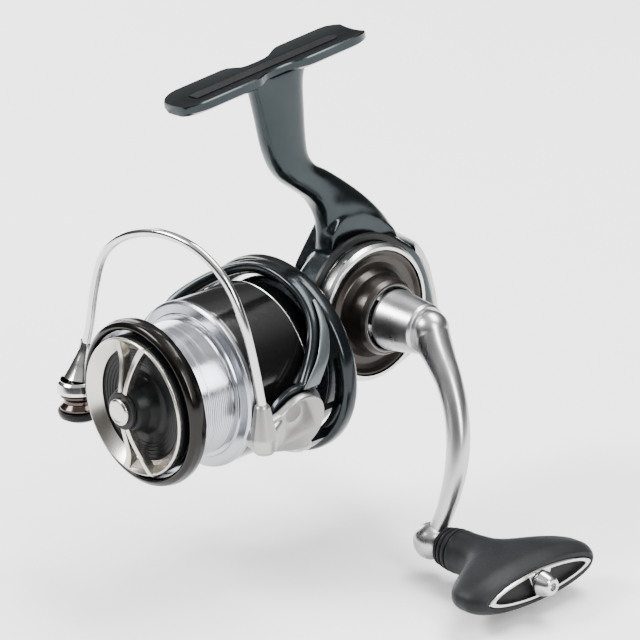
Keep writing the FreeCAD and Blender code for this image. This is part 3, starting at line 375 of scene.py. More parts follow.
def piece(obj, body, slot, *nodes):
    """Ride the object on its body and let it stand for CAD nodes."""
    if obj.modifiers:
        settle(obj)
    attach(obj, body)
    if nodes:
        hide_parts(*nodes)
    return obj


# ------------------------------------------------------------------ spool
def drum_outline():
    """Half section of the line drum: bore, front wall, grooved core, stepped rear flange."""
    groove_pitch = 0.62
    groove_depth = 0.12
    points = [
        (-20.2, 6.05), (-20.2, 14.6, 0.3), (-28.5, 14.6), (-28.5, 19.9), (-27.0, 19.9),
        (-26.8, 18.25, 0.3)
    ]
    count = int(11.6 / groove_pitch)
    for index in range(count):
        along = -26.2 + index * groove_pitch
        core = 18.12 + 0.016 * (along + 26.2)
        points += [(along, core), (along + groove_pitch / 2, core - groove_depth)]
    return points + [
        (-14.6, 18.3), (-14.5, 19.4, 0.2), (-13.9, 19.6, 0.2), (-13.5, 21.9, 0.3),
        (-12.9, 22.7, 0.3), (-11.75, 22.7, 0.2), (-11.75, 16.2), (-17.0, 16.2), (-17.0, 6.05)
    ]


lip = lathe("spool_lip_ring", [
    (-31.5, 20.0), (-32.68, 20.8, 0.8), (-31.7, 22.2, 1.2), (-29.9, 22.72, 1.6), (-28.1, 22.5, 0.5),
    (-27.25, 20.05)
], SHAFT, LIP_BRONZE)
piece(lip, "spool", "bronze_black", "spool_lip")
drum = lathe("spool_core", drum_outline(), SHAFT, DRUM, sharp=20)
piece(drum, "spool", "spool_aluminium", "spool_drum")
skirt = lathe("spool_skirt_shell", [
    (-10.9, 17.0), (-11.68, 17.0), (-11.68, 22.4, 0.3), (-10.9, 22.47, 0.3), (7.6, 22.47, 0.2),
    (8.1, 22.2, 0.2), (8.75, 22.0, 0.3), (8.75, 21.55), (-10.9, 21.55)
], SHAFT, SKIRT)
edge = lathe("skirt_edge", [
    (7.7, 22.3), (7.85, 22.49, 0.1), (8.5, 22.3, 0.2), (8.78, 21.9, 0.2), (8.3, 21.7)
], SHAFT, CHROME)
piece(join("spool_skirt_shell", [skirt, edge]), "spool", "skirt_black", "spool_skirt")


# ------------------------------------------------------------------ drag knob
def dish_outline():
    """Half section of the knob: rim, dish with stepped rings, and its hub."""
    points = [
        (-28.45, 2.25), (-28.45, 13.6), (-29.6, 13.7, 0.2), (-29.7, 18.3, 0.4), (-30.4, 18.75, 0.4),
        (-32.95, 18.75, 0.2), (-33.0, 18.1), (-30.95, 15.25), (-30.95, 14.9)
    ]
    for step in range(5):
        radius = 14.3 - step * 0.95
        along = -31.0 + step * 0.13
        points += [
            (along - 0.22, radius + 0.42, 0.12), (along, radius + 0.3, 0.12),
            (along + 0.02, radius - 0.4, 0.12)
        ]
    return points + [
        (-30.45, 9.4, 0.3), (-30.9, 8.0, 0.8), (-33.4, 6.6, 0.8), (-35.9, 5.9, 0.6),
        (-36.75, 5.4, 0.3), (-36.75, 2.25)
    ]


knob = lathe("drag_knob_cup", dish_outline(), SHAFT, KNOB_BLACK)
piece(knob, "drag_knob", "knob_black", "drag_knob_body")

rim = lathe("bezel_rim", [
    (-33.0, 18.2), (-33.0, 18.7), (-33.9, 18.7, 0.3), (-34.35, 18.35, 0.2), (-31.4, 15.1, 0.3),
    (-31.0, 15.3)
], SHAFT, CHAMPAGNE)
FIN = [
    (3.6, 0.8, 0.75, -37.75), (7.0, 1.1, 0.7, -37.0), (10.5, 1.7, 0.8, -36.0),
    (13.5, 2.6, 0.95, -35.1), (15.6, 3.7, 1.1, -34.7), (17.6, 5.0, 1.3, -34.3)
]
fins = [rim]
for end in (-1, 1):
    for side in (-1, 1):
        rings = []
        for step in range(25):
            away, across, half, front = catmull(FIN, step / 24)
            middle = side * across + 0.05 * away
            low = front + 2.4
            rings.append([
                (middle - half, low, end * away), (middle - half, front + 0.3, end * away),
                (middle - half + 0.25, front, end * away),
                (middle + half - 0.25, front, end * away), (middle + half, front + 0.3, end * away),
                (middle + half, low, end * away)
            ])
        fins.append(skin("fin", rings, SHAFT, CHAMPAGNE))
collar = lathe("fin_collar", [
    (-36.8, 2.4), (-36.8, 5.2, 0.2), (-37.95, 5.0, 0.3), (-37.95, 2.4)
], SHAFT, KNOB_BLACK)
fins.append(collar)
piece(join("bezel_and_fins", fins), "drag_knob", "champagne_metal", "drag_bezel")
cap = lathe("hub_cap", [
    (-37.98, 0.001), (-37.98, 3.6, 0.1), (-38.7, 3.6, 0.25), (-39.15, 3.0, 0.35),
    (-38.95, 2.4, 0.2), (-39.0, 0.001)
], SHAFT, CHAMPAGNE)
piece(cap, "drag_knob", "champagne_metal", "drag_cap")


# ------------------------------------------------------------------ rotor
def band(name, steps, centre, half_wide, half_deep, place, mat, closed=True, power=2.6, corners=24):
    """A band round the Y axis: centre(share) gives (radius, along, angle), its section a soft box."""
    rings = []
    for step in range(steps + (0 if closed else 1)):
        share = step / steps
        radius, along, angle = centre(share)
        wide = half_wide(share)
        deep = half_deep(share)
        ring = []
        for corner in range(corners):
            across, out = rounded(corner, corners, 2 / power)
            reach = radius + deep * out
            ring.append((reach * math.cos(angle), along + wide * across, reach * math.sin(angle)))
        rings.append(ring)
    if closed:
        verts = [point for ring in rings for point in ring]
        faces = []
        for level in range(steps):
            after_level = (level + 1) % steps
            for index in range(corners):
                after = (index + 1) % corners
                faces.append((level * corners + index, level * corners + after,
                              after_level * corners + after, after_level * corners + index))
        return make_object(name, verts, faces, place, mat)
    return skin(name, rings, place, mat)


PIVOT_Y = -1.3
HOOP_RISE = 16.3
REAR_Y = 17.0
# radius, y and half width of a rib; radius, y and degrees of the ridge; degrees of the web
RIB_ROUTE = [(27.0, 1.0, 2.6), (27.0, 8.0, 1.5), (26.9, 12.0, 1.5), (26.6, 17.0, 2.6)]
RIDGE_ROUTE = [
    (28.95, 2.6, 18.0), (28.95, 5.2, 24.0), (28.8, 8.3, 31.0), (28.3, 11.0, 40.0),
    (27.6, 13.2, 50.0), (26.9, 14.6, 62.0)
]
WEB_START, WEB_SPAN = 27.0, 40.0


def climb(share):
    """How far the hoop has risen towards the rear ring, by its height's share."""
    share = abs(share)
    return share * share * (3 - 2 * share)


def hoop_centre(share):
    angle = 2 * math.pi * share
    risen = climb(math.sin(angle))
    return 27.2 - 2.4 * risen, PIVOT_Y + 0.6 + (HOOP_RISE - 0.6) * risen, angle


def hoop_wide(share):
    return 3.6 - 0.8 * climb(math.sin(2 * math.pi * share))


def hoop_deep(share):
    return 2.0 - 0.5 * climb(math.sin(2 * math.pi * share))


def rear_centre(share):
    angle = 2 * math.pi * share
    return 23.9 + 2.6 * math.cos(angle) ** 2, REAR_Y, angle


def on_side(angle, side):
    """An angle on the right arm, or its mirror image on the left arm."""
    return angle if side > 0 else math.pi - angle


def make_rib(side):
    """The bar between the two windows of an arm."""
    def centre(share):
        radius, along, _ = catmull(RIB_ROUTE, share)
        return radius, along, on_side(0.0, side)
    return band("rib", 24, centre, lambda share: catmull(RIB_ROUTE, share)[2], lambda share: 1.1,
                ROTOR, ROTOR_PAINT, closed=False)


def make_web(side, up):
    """The wall between hoop and rear ring, beyond an arm's window."""
    def angle_at(share):
        return math.radians(WEB_START + WEB_SPAN * share)

    def hoop_y(share):
        return hoop_centre(angle_at(share) / (2 * math.pi))[1]

    def centre(share):
        return 25.9 - 0.9 * share, (hoop_y(share) + REAR_Y) / 2, on_side(up * angle_at(share), side)
    return band("web", 24, centre, lambda share: (REAR_Y - hoop_y(share)) / 2 + 1.0, lambda share: 1.3,
                ROTOR, ROTOR_PAINT, closed=False, power=4.0)


def make_ridge():
    """A lighter strip lying on the outside of the right arm's upper leg."""
    def centre(share):
        radius, along, turn = catmull(RIDGE_ROUTE, share)
        return radius, along, math.radians(turn)
    return band("leg_ridge", 40, centre, lambda share: 2.7 * (1.0 - 0.85 * share ** 1.5),
                lambda share: 0.3, ROTOR, ROTOR_EDGE, closed=False)


def make_rotor():
    """Hub, hoop, rear ring and arms in one, with a sunk seat and a disc round each bail pivot."""
    whole = lathe("rotor_hub", [
        (-8.2, 3.98), (-9.95, 3.98), (-9.95, 20.2, 0.8), (14.5, 20.35), (15.2, 21.6, 0.4),
        (19.55, 21.6, 0.3), (19.55, 20.4), (14.0, 19.2), (-8.2, 19.2)
    ], ROTOR, ROTOR_PAINT)
    shapes = [
        band("hoop", 200, hoop_centre, hoop_wide, hoop_deep, ROTOR, ROTOR_PAINT, power=3.2),
        band("rear", 160, rear_centre, lambda share: 2.55, lambda share: 2.5, ROTOR, ROTOR_PAINT, power=3.2)
    ]
    for side in (1, -1):
        shapes += [make_rib(side), make_web(side, -1), make_web(side, 1)]
    for shape in shapes:
        whole = combine(whole, shape, "UNION")
    pivot = ROTOR @ Matrix.Translation((0, PIVOT_Y, 0))
    for side, disc_radius, sunk_radius in ((1, 9.55, 9.9), (-1, 5.45, 11.7)):
        seat = side * 26.58
        root = side * 25.2
        sink = lathe("sink", [
            (seat, 0.01), (seat, sunk_radius), (side * 33.0, sunk_radius), (side * 33.0, 0.01)
        ], pivot, ROTOR_PAINT, "X", 96)
        disc = lathe("pivot_disc", [
            (root, 1.65), (root, disc_radius, 0.2), (seat, disc_radius, 0.3), (seat, 1.65)
        ], pivot, ROTOR_PAINT, "X")
        whole = combine(whole, sink, "DIFFERENCE")
        whole = combine(whole, disc, "UNION")
    return whole


rotor = join("rotor_casting", [make_rotor(), make_ridge()])
piece(rotor, "rotor_body", "rotor_paint", "rotor")


# ------------------------------------------------------------------ body casting
def ellipse_ring(front, rear, half, power, shift, corners=48):
    """A ring square to the stem: front and rear are its (y, z) edge points, half its width."""
    middle = ((front[0] + rear[0]) / 2, (front[1] + rear[1]) / 2)
    reach = ((rear[0] - front[0]) / 2, (rear[1] - front[1]) / 2)
    ring = []
    for corner in range(corners):
        deep, across = rounded(corner, corners, 2 / power)
        ring.append((shift + half * across, middle[0] + reach[0] * deep, middle[1] + reach[1] * deep))
    return ring


STEM = [  # front y, front z, rear y, rear z, half width, shift towards the handle
    (11.0, 77.6, 31.5, 79.2, 4.6, 0), (12.4, 73.5, 29.6, 74.2, 4.3, 0),
    (14.1, 65.8, 29.3, 66.0, 4.2, 0), (15.9, 57.1, 29.2, 58.0, 4.3, 0),
    (18.3, 51.0, 29.6, 53.4, 4.4, 0), (21.4, 46.8, 32.0, 49.6, 4.5, 0),
    (25.6, 43.3, 36.8, 46.4, 4.6, 0), (29.3, 40.3, 43.0, 41.6, 5.1, 0),
    (31.6, 37.2, 49.0, 36.0, 5.3, 0.7), (32.6, 33.0, 54.5, 29.5, 4.7, 1.6),
    (32.4, 27.0, 58.5, 22.4, 4.2, 2.0), (31.8, 18.0, 58.0, 15.0, 4.0, 2.1)
]


def make_stem():
    rings = []
    steps = 70
    for step in range(steps + 1):
        front_y, front_z, rear_y, rear_z, half, shift = catmull(STEM, step / steps)
        square = 2.6 + 3.0 * max(0.0, step / steps - 0.6)
        rings.append(ellipse_ring((front_y, front_z), (rear_y, rear_z), half, square, shift))
    return skin("stem", rings, SHAFT, GUNMETAL)


CASE_TOP = [(21.7, 10.5), (30.0, 14.5), (36.0, 19.5), (41.0, 23.5), (46.0, 25.9)]
CASE_LOW = [(45.0, -11.9), (36.0, -11.9), (21.7, -11.9)]
REAR_WIDE = [
    (54.0, 25.5), (61.3, 20.6), (65.0, 16.9), (68.0, 11.4), (69.9, 4.0), (71.1, -4.5), (67.4, -9.7),
    (61.0, -12.1), (52.5, -12.9)
]
REAR_NARROW = [
    (54.0, 24.5), (59.9, 20.0), (62.1, 17.1), (64.1, 12.7), (65.9, 5.4), (67.1, -2.6), (65.5, -5.6),
    (60.0, -7.5), (52.5, -10.3)
]
TAPER_X = -2.0
CASE_RIGHT = 9.2


def rear_at(at_x, end_x=CASE_RIGHT):
    """The rear outline of the case at a place along X."""
    share = max(0.0, (at_x - TAPER_X) / (end_x - TAPER_X))
    return [tuple(Vector(wide).lerp(Vector(narrow), share))
            for wide, narrow in zip(REAR_WIDE, REAR_NARROW)]


def stack(name, outline_at, levels, middle, mat):
    """A block from outlines in the YZ plane, each drawn in towards the middle near its ends."""
    rings = []
    for at_x, share in levels:
        outline = soften([(y, z, 4.0) for y, z in outline_at(at_x)])
        ring = [Vector(middle) + (point - Vector(middle)) * share for point in outline]
        rings.append([(at_x, point.x, point.y) for point in ring])
    return skin(name, rings, SHAFT, mat)


def make_case():
    levels = ((-12.3, 0.82), (-11.9, 0.88), (-10.8, 0.94), (-8.5, 0.98), (-5.0, 1.0), (-2.0, 1.0),
              (2.0, 1.0), (6.0, 1.0), (8.3, 0.995), (8.9, 0.985), (9.15, 0.96))
    return stack("case", lambda at_x: CASE_TOP + rear_at(at_x) + CASE_LOW, levels, (45.0, 7.0),
                 GUNMETAL)


SHOULDER = [
    (29.6, 10.0), (30.0, 20.0), (31.6, 23.5), (32.6, 27.0), (32.6, 31.0), (36.0, 34.4),
    (44.0, 34.0), (50.0, 31.0), (56.0, 25.9), (58.0, 20.0), (58.0, 10.0)
]
LEANING = [
    (27.5, 10.0), (29.6, 20.0), (33.6, 25.0), (37.4, 29.5), (40.4, 32.2), (43.0, 32.8),
    (44.0, 32.9), (50.0, 30.3), (56.0, 25.4), (58.0, 20.0), (58.0, 10.0)
]


def make_shoulder():
    def outline(at_x):
        share = min(1.0, max(0.0, (2.0 - at_x) / 6.0))
        return [tuple(Vector(a).lerp(Vector(b), share)) for a, b in zip(SHOULDER, LEANING)]
    levels = ((-6.7, 0.96), (-6.3, 0.985), (-5.0, 0.998), (-4.0, 1.0), (-1.0, 1.0), (2.0, 1.0),
              (5.6, 1.0), (6.2, 0.985), (6.45, 0.96))
    return stack("shoulder", outline, levels, (45.0, 20.0), GUNMETAL)


FOOT_LEAN = math.radians(5.3)
FOOT_Y = 17.0
FOOT_Z = 76.6
FOOT_DEPTH = 2.8
FOOT_HALF = [
    (-30.6, 3.4), (-30.2, 4.4), (-29.2, 5.4), (-27.8, 6.2), (-25.8, 6.8), (-24.0, 7.0), (-8.0, 7.0),
    (-6.4, 6.8), (-4.8, 5.9), (-3.2, 4.9), (-1.6, 4.5), (1.5, 4.4), (4.6, 4.5), (6.6, 5.0),
    (8.6, 6.0), (10.4, 6.8), (12.0, 7.0), (26.5, 7.0), (28.8, 6.8), (30.8, 6.1), (32.5, 5.0)
]
SADDLE_RADIUS = 26.0
SADDLE_LOW = 2.74
STRIP_HALF = 1.7


def foot_place(along, across, rise):
    """A point of the foot: along it, across it and above its underside, in shaft millimetres."""
    return (across, FOOT_Y + along * math.cos(FOOT_LEAN) - rise * math.sin(FOOT_LEAN),
            FOOT_Z + along * math.sin(FOOT_LEAN) + rise * math.cos(FOOT_LEAN))


def saddle_rise(across):
    return SADDLE_RADIUS - math.sqrt(SADDLE_RADIUS * SADDLE_RADIUS - across * across)


def make_foot():
    """The hollow-topped foot as a strip of sections along its length."""
    rings = []
    for along, half in FOOT_HALF:
        side_top = FOOT_DEPTH + saddle_rise(half) - 0.43
        cut = 0.5 + 0.16 * half
        ring = []
        for share in range(13):
            across = (half - 0.35) * (1 - 2 * share / 12)
            ring.append(foot_place(along, across, SADDLE_LOW + saddle_rise(across)))
        for across, rise in ((-half, side_top), (-half, 1.25), (-half + cut, 0.25), (half - cut, 0.25),
                             (half, 1.25), (half, side_top)):
            ring.append(foot_place(along, across, rise))
        rings.append(ring)
    foot = skin("foot", rings, SHAFT, GUNMETAL, 28)
    # dark strip let into the saddle along its middle, round-ended at the rear
    outline = []
    for step in range(13):
        angle = math.radians(-90 + 15 * step)
        outline.append((24.6 + STRIP_HALF * math.cos(angle), STRIP_HALF * math.sin(angle)))
    outline += [(-24.0, STRIP_HALF), (-24.0, -STRIP_HALF)]
    low = [foot_place(along, across, 2.6) for along, across in outline]
    high = [foot_place(along, across, 2.98) for along, across in outline]
    strip = skin("saddle_strip", [low, high], SHAFT, STRIP_AND_SHADE_BLACK)
    return [foot, strip]


def refine(obj, voxel, rounds):
    """Melt the joined shapes of a casting into one skin with soft inner corners."""
    melt = obj.modifiers.new("melt", "REMESH")
    melt.mode = "VOXEL"
    melt.voxel_size = voxel * MM
    melt.use_smooth_shade = True
    soften_tool = obj.modifiers.new("soften", "SMOOTH")
    soften_tool.factor = 0.5
    soften_tool.iterations = rounds
    settle(obj)
    for polygon in obj.data.polygons:
        polygon.use_smooth = True
    return obj


body = join("body_casting", [make_stem(), make_case(), make_shoulder()])
nose = lathe("nose", [
    (8.9, 10.1), (8.9, 12.5, 0.6), (20.3, 12.5), (20.4, 14.9, 0.5), (24.0, 14.9), (24.0, 10.1)
], SHAFT, GUNMETAL)
rim_disc = lathe("rim_disc", [
    (-1.8, 0.01), (-1.8, 18.0, 0.8), (0.0, 19.0, 0.5), (9.15, 19.0, 0.2), (9.15, 0.01)
], HANDLE, GUNMETAL, "X")
body = join("body_casting", [body, nose, rim_disc])
refine(body, 0.4, 22)
# black band round the plate, painted shade standing in for the shadowed recess between the case side and
# the plate; it is one piece with the casting, as is the foot
UP_FROM_PLATE = HANDLE @ Matrix.Translation((0, -0.5, 0.9))
painted_shade_band = lathe("plate_painted_shade_band", [
    (8.2, 18.6), (9.19, 18.6), (9.19, 20.3, 0.2), (8.2, 20.4)
], UP_FROM_PLATE, STRIP_AND_SHADE_BLACK, "X")
body = join("body_casting", [body, painted_shade_band] + make_foot())
piece(body, "frame", "gunmetal_casting", "main_body")

# side plate: bright ring, dished dark plate, raised collar round the crank
plate = lathe("side_plate_dish", [
    (9.3, 6.6), (9.3, 17.2), (12.85, 17.2, 0.3), (12.85, 16.6, 0.4), (12.1, 15.6, 0.8),
    (11.6, 14.0, 1.2), (12.2, 12.2, 1.0), (13.9, 11.1, 0.8), (18.0, 10.4, 0.6), (19.4, 9.7, 0.4),
    (19.4, 8.5, 0.2), (14.0, 8.3), (12.6, 6.6)
], HANDLE, BRONZE, "X")
edge = lathe("collar_edge", [
    (19.2, 9.2), (19.49, 9.3, 0.1), (19.49, 9.0, 0.1), (19.2, 8.9)
], HANDLE, GUNMETAL_LIGHT, "X")
piece(join("side_plate_dish", [plate, edge]), "frame", "bronze_black", "side_plate")
ring = lathe("side_plate_ring", [
    (9.2, 17.35), (9.2, 19.0, 0.3), (12.3, 19.0, 0.4), (13.35, 18.3, 0.3), (13.35, 17.35, 0.1)
], HANDLE, CHROME, "X")
piece(ring, "frame", "polished_ring", "plate_ring")

# pale guard wrapped round the rear of the case, with its two screws underneath
GUARD_OUTWARD = [
    (0.62, 0.78), (0.82, 0.57), (0.95, 0.3), (0.98, 0.18), (0.9, -0.43), (0.5, -0.86),
    (0.28, -0.96), (0.2, -0.98)
]


def make_guard():
    rings = []
    for at_x, out in ((-9.97, 1.0), (-9.85, 1.35), (-9.3, 1.65), (-2.0, 1.7), (3.0, 1.7), (8.3, 1.65),
                      (8.75, 1.4), (8.87, 1.0)):
        rows = rear_at(at_x, 8.9)[1:]
        outer = []
        inner = []
        for (along, up), (ahead, rise) in zip(rows, GUARD_OUTWARD):
            outer.append((along + ahead * out, up + rise * out, 1.2))
            inner.append((along + ahead * 0.3, up + rise * 0.3, 1.2))
        outer[0] = outer[0][:2] + (0.4,)
        outer[-1] = outer[-1][:2] + (0.4,)
        ring = soften(outer + inner[::-1])
        rings.append([(at_x, point.x, point.y) for point in ring])
    return skin("rear_guard_cover", rings, SHAFT, SILVER_PAINT)


def screw_place(side):
    """The upright axis of a guard screw."""
    return SHAFT @ Matrix.Translation((side * 2.6 - 4.2, 56.0, 0))


guard = make_guard()
for side in (-1, 1):
    hole = lathe("hole", [
        (-16.0, 0.01), (-16.0, 1.75), (-11.0, 1.75), (-11.0, 0.01)
    ], screw_place(side), SILVER_PAINT, "Z", 48)
    guard = combine(guard, hole, "DIFFERENCE")
piece(guard, "frame", "silver_paint", "rear_guard")
heads = []
for side in (-1, 1):
    heads.append(lathe("screw_head", [
        (-13.35, 0.01), (-13.35, 1.6), (-14.3, 1.6, 0.2), (-14.66, 1.2, 0.2), (-14.66, 0.75, 0.05),
        (-13.9, 0.5, 0.05), (-13.9, 0.01)
    ], screw_place(side), BLACK_STEEL, "Z", 48))
piece(join("guard_screws", heads), "frame", "black_screw", "rear_guard_screws")
cap = lathe("left_port_cap", [
    (-12.52, 0.01), (-12.52, 7.55), (-13.5, 7.55, 0.3), (-15.1, 6.4, 0.5), (-15.4, 5.2, 0.3),
    (-15.0, 4.6, 0.3), (-15.0, 0.01)
], HANDLE, GUNMETAL_LIGHT, "X")
piece(cap, "frame", "silver_paint", "port_cap")


# ------------------------------------------------------------------ bail
def tube(name, route, radius, place, mat, steps=160, corners=24):
    """A round rod along a smooth route."""
    points = [Vector(catmull(route, step / steps)) for step in range(steps + 1)]
    rings = []
    side = Vector((0, 1, 0))
    for index, point in enumerate(points):
        before = points[max(index - 1, 0)]
        after = points[min(index + 1, steps)]
        along = (after - before).normalized()
        side = (side - along * side.dot(along)).normalized()
        other = along.cross(side)
        size = radius(index / steps) if callable(radius) else radius
        ring = []
        for corner in range(corners):
            turn = 2 * math.pi * corner / corners
            ring.append(point + (side * math.cos(turn) + other * math.sin(turn)) * size)
        rings.append(ring)
    return skin(name, rings, place, mat)


WIRE_ROUTE = [
    (28.4, -15.5, 9.4), (25.9, -17.1, 19.5), (21.6, -18.6, 31.0), (14.5, -20.0, 40.8),
    (4.0, -21.6, 45.6), (-8.0, -23.3, 44.8), (-19.0, -24.6, 39.0), (-27.0, -24.5, 29.5),
    (-31.3, -22.7, 16.5), (-33.2, -21.3, 4.5), (-33.8, -21.4, -2.0)
]
bail = tube("bail_hoop_wire", WIRE_ROUTE, 1.2, ROTOR, WIRE)
piece(bail, "bail", "wire_steel", "bail_wire")

SIDE_IN, SIDE_OUT = 26.9, 29.7
BRIDGE_IN = 27.3
LEVER_OUT = 29.2


def make_holder():
    outline = []
    for step in range(33):
        angle = math.radians(-98 + 226 * step / 32)
        outline.append((PIVOT_Y + 8.25 * math.cos(angle), 8.25 * math.sin(angle)))
    outline += [
        (-9.0, 5.0, 2.0), (-12.0, 4.2, 1.0), (-15.5, 4.0, 1.0), (-18.2, 2.2, 1.0),
        (-18.8, 0.0, 1.0), (-18.2, -2.2, 1.0), (-15.0, -4.3, 1.5), (-9.5, -6.2, 1.5)
    ]
    plate = slab("holder_plate", outline, SIDE_IN + 0.02, SIDE_OUT - 0.02, ROTOR, PEARL, 0.8)
    lean = ROTOR @ Matrix.Translation((30.6, -15.5, 0.4)) @ Matrix.Rotation(-ROTOR_TURN, 4, "Y")
    cone = lathe("holder_cone", [
        (-3.7, 0.01), (-3.7, 2.2, 1.0), (-2.4, 3.3, 0.8), (0.8, 3.55, 1.0), (9.2, 2.05, 0.3),
        (9.75, 1.7, 0.2), (9.75, 0.01)
    ], lean, PEARL, "Z")
    fill = []
    for along, reach, high, low in ((-15.2, 33.4, 2.8, -2.9), (-12.6, 32.2, 3.2, -3.6),
                                    (-10.0, 30.9, 3.8, -4.6), (-7.6, 29.9, 4.4, -5.6),
                                    (-6.2, 29.4, 4.6, -6.2)):
        middle = (BRIDGE_IN + reach) / 2
        ring = []
        for corner in range(32):
            out, rise = rounded(corner, 32, 0.75)
            ring.append((middle + (reach - middle) * out, along,
                         (high + low) / 2 + (high - low) / 2 * rise))
        fill.append(ring)
    bridge = skin("holder_bridge", fill, ROTOR, PEARL)
    whole = combine(plate, cone, "UNION")
    whole = combine(whole, bridge, "UNION")
    recess = lathe("thumb_recess", [
        (29.1, 0.01), (29.15, 2.6, 0.8), (29.75, 4.3, 0.3), (31.5, 4.4), (31.5, 0.01)
    ], ROTOR @ Matrix.Translation((0, -4.6, 4.0)), PEARL, "X", 72)
    return combine(whole, recess, "DIFFERENCE")


holder = make_holder()
holder.name = "bail_arm_holder"
piece(holder, "bail", "pearl_silver", "bail_holder")

# line roller group: its round pieces share one line along Z
PIN = SHAFT @ Matrix.Translation((-34.0, -24.5, 0))
flare = lathe("roller_side_plate", [
    (-6.9, 1.6), (-6.9, 5.9, 0.3), (-5.9, 6.0, 0.3), (-4.2, 5.6, 0.4), (-3.4, 4.9, 0.2),
    (-4.6, 4.3, 0.3), (-5.5, 3.6, 0.2), (-5.5, 1.6)
], PIN, WIRE, "Z")
neck_route = [(-33.9, -21.3, 6.6), (-33.9, -21.7, 3.4), (-34.0, -22.6, 0.0), (-34.1, -23.2, -3.6)]
neck = tube("flare_neck", neck_route, lambda share: catmull([(1.3,), (1.9,), (3.1,), (5.0,)], share)[0],
            SHAFT, WIRE, 40, 32)
piece(join("bail_end_cover", [flare, neck]), "bail", "wire_steel", "bail_end")
roller = lathe("line_roller_drum", [
    (-11.65, 3.12), (-11.65, 5.55, 0.2), (-11.0, 5.55, 0.3), (-9.9, 4.3, 0.5), (-9.0, 4.3, 0.5),
    (-8.0, 5.25, 0.3), (-7.35, 5.25, 0.15), (-7.35, 3.12)
], PIN, ROLLER, "Z")
piece(roller, "roller", "roller_coat", "line_roller")
pin = lathe("roller_pin_screw", [
    (-14.0, 0.01), (-14.0, 1.5), (-5.5, 1.5), (-5.45, 2.85, 0.1), (-4.3, 2.85, 0.4),
    (-3.65, 2.2, 0.2), (-3.65, 1.3, 0.05), (-4.3, 1.2, 0.05), (-4.3, 0.01)
], PIN, BLACK_STEEL, "Z")
piece(pin, "bail", "black_screw", "roller_screw")


def make_lever():
    outline = []
    for step in range(25):
        angle = math.radians(-50 + 190 * step / 24)
        outline.append((PIVOT_Y + 4.95 * math.cos(angle), 4.95 * math.sin(angle)))
    outline += [
        (-6.6, 1.6, 2.0), (-9.4, -3.6, 3.0), (-12.8, -10.6, 4.0), (-16.2, -17.9, 3.0),
        (-19.0, -20.0, 1.5), (-24.4, -20.4, 1.0), (-24.4, -23.2, 1.0), (-18.0, -23.2, 3.0),
        (-12.0, -19.2, 4.0), (-6.0, -11.4, 4.0), (-1.6, -6.6, 3.0)
    ]
    plate = slab("lever_plate", outline, -LEVER_OUT + 0.02, -SIDE_IN - 0.02, ROTOR, KNOB_BLACK, 0.6)
    cap = lathe("lever_cap", [
        (-15.15, 0.01), (-15.1, 3.6, 0.5), (-13.9, 5.8, 0.8), (-12.8, 6.15, 0.5),
        (-11.95, 6.15, 0.3), (-11.95, 0.01)
    ], PIN, KNOB_BLACK, "Z")
    return combine(plate, cap, "UNION")


lever = make_lever()
lever.name = "bail_arm_lever"
piece(lever, "bail", "knob_black", "arm_lever")
pivot_at = ROTOR @ Matrix.Translation((0, PIVOT_Y, 0))
head = lathe("lever_pivot_screw", [
    (-25.4, 0.01), (-25.4, 1.5), (-29.25, 1.5), (-29.25, 2.95, 0.15), (-29.7, 2.9, 0.2),
    (-30.15, 2.3, 0.2), (-30.15, 1.2, 0.05), (-29.4, 1.1, 0.05), (-29.4, 0.01)
], pivot_at, BLACK_STEEL, "X", 72)
piece(head, "rotor_body", "black_screw", "lever_screw")

# ------------------------------------------------------------------ crank handle
collar = lathe("handle_cone", [
    (20.0, 2.45), (20.0, 8.2, 0.3), (21.0, 8.3, 0.4), (31.9, 6.86, 0.4), (32.65, 6.3, 0.3),
    (32.65, 2.45)
], HANDLE, SATIN, "X")
piece(collar, "crank", "satin_aluminium", "handle_collar")

LEAN = math.radians(14.0)
CRANK = HANDLE @ Matrix.Rotation(-LEAN, 4, "X")
ARM_LENGTH = 54.3
BALL_RADIUS = 5.08
ARM_SPINE = [
    (34.2, 0.2, 4.9), (36.4, -3.2, 4.7), (39.6, -7.0, 4.1), (43.6, -11.8, 3.6), (47.2, -18.2, 3.35),
    (49.5, -25.4, 3.2), (50.2, -33.0, 3.0), (49.5, -41.0, 2.7), (47.8, -47.8, 2.4),
    (46.2, -52.4, 2.6)
]


def make_arm():
    steps = 90
    rings = []
    for step in range(steps + 1):
        share = step / steps
        across, up, half = catmull(ARM_SPINE, share)
        here = catmull(ARM_SPINE, max(share - 0.01, 0))
        there = catmull(ARM_SPINE, min(share + 0.01, 1))
        along = Vector((there[0] - here[0], 0, there[1] - here[1])).normalized()
        side = Vector((0, 1, 0)).cross(along)
        ring = []
        for corner in range(40):
            out, deep = rounded(corner, 40, 0.95)
            ring.append(Vector((across, 0, up)) + side * (half * out)
                        + Vector((0, 0.97 * half * deep, 0)))
        rings.append(ring)
    arm = skin("arm", rings, CRANK, SATIN)
    outline = [(BALL_RADIUS * math.sin(math.radians(angle)), BALL_RADIUS * math.cos(math.radians(angle)))
               for angle in range(-90, 91, 5)]
    outline[0] = (-BALL_RADIUS, 0.01)
    outline[-1] = (BALL_RADIUS, 0.01)
    for across, up in ((34.0, 0.5), (45.3, -ARM_LENGTH)):
        ball = lathe("ball", outline, CRANK @ Matrix.Translation((across, 0, up)), SATIN, "X", 72)
        arm = combine(arm, ball, "UNION")
    return arm


arm = make_arm()
arm.name = "crank_arm"
piece(arm, "crank", "satin_aluminium", "handle_arm")

# ------------------------------------------------------------------ handle knob
KNOB = HANDLE @ Matrix.Translation((0, -ARM_LENGTH * math.sin(LEAN), -ARM_LENGTH * math.cos(LEAN)))


def oval(at_x, half_y, half_z, power=2.3, corners=72):
    ring = []
    for corner in range(corners):
        across, up = rounded(corner, corners, 2 / power)
        ring.append((at_x, half_y * across, half_z * up))
    return ring


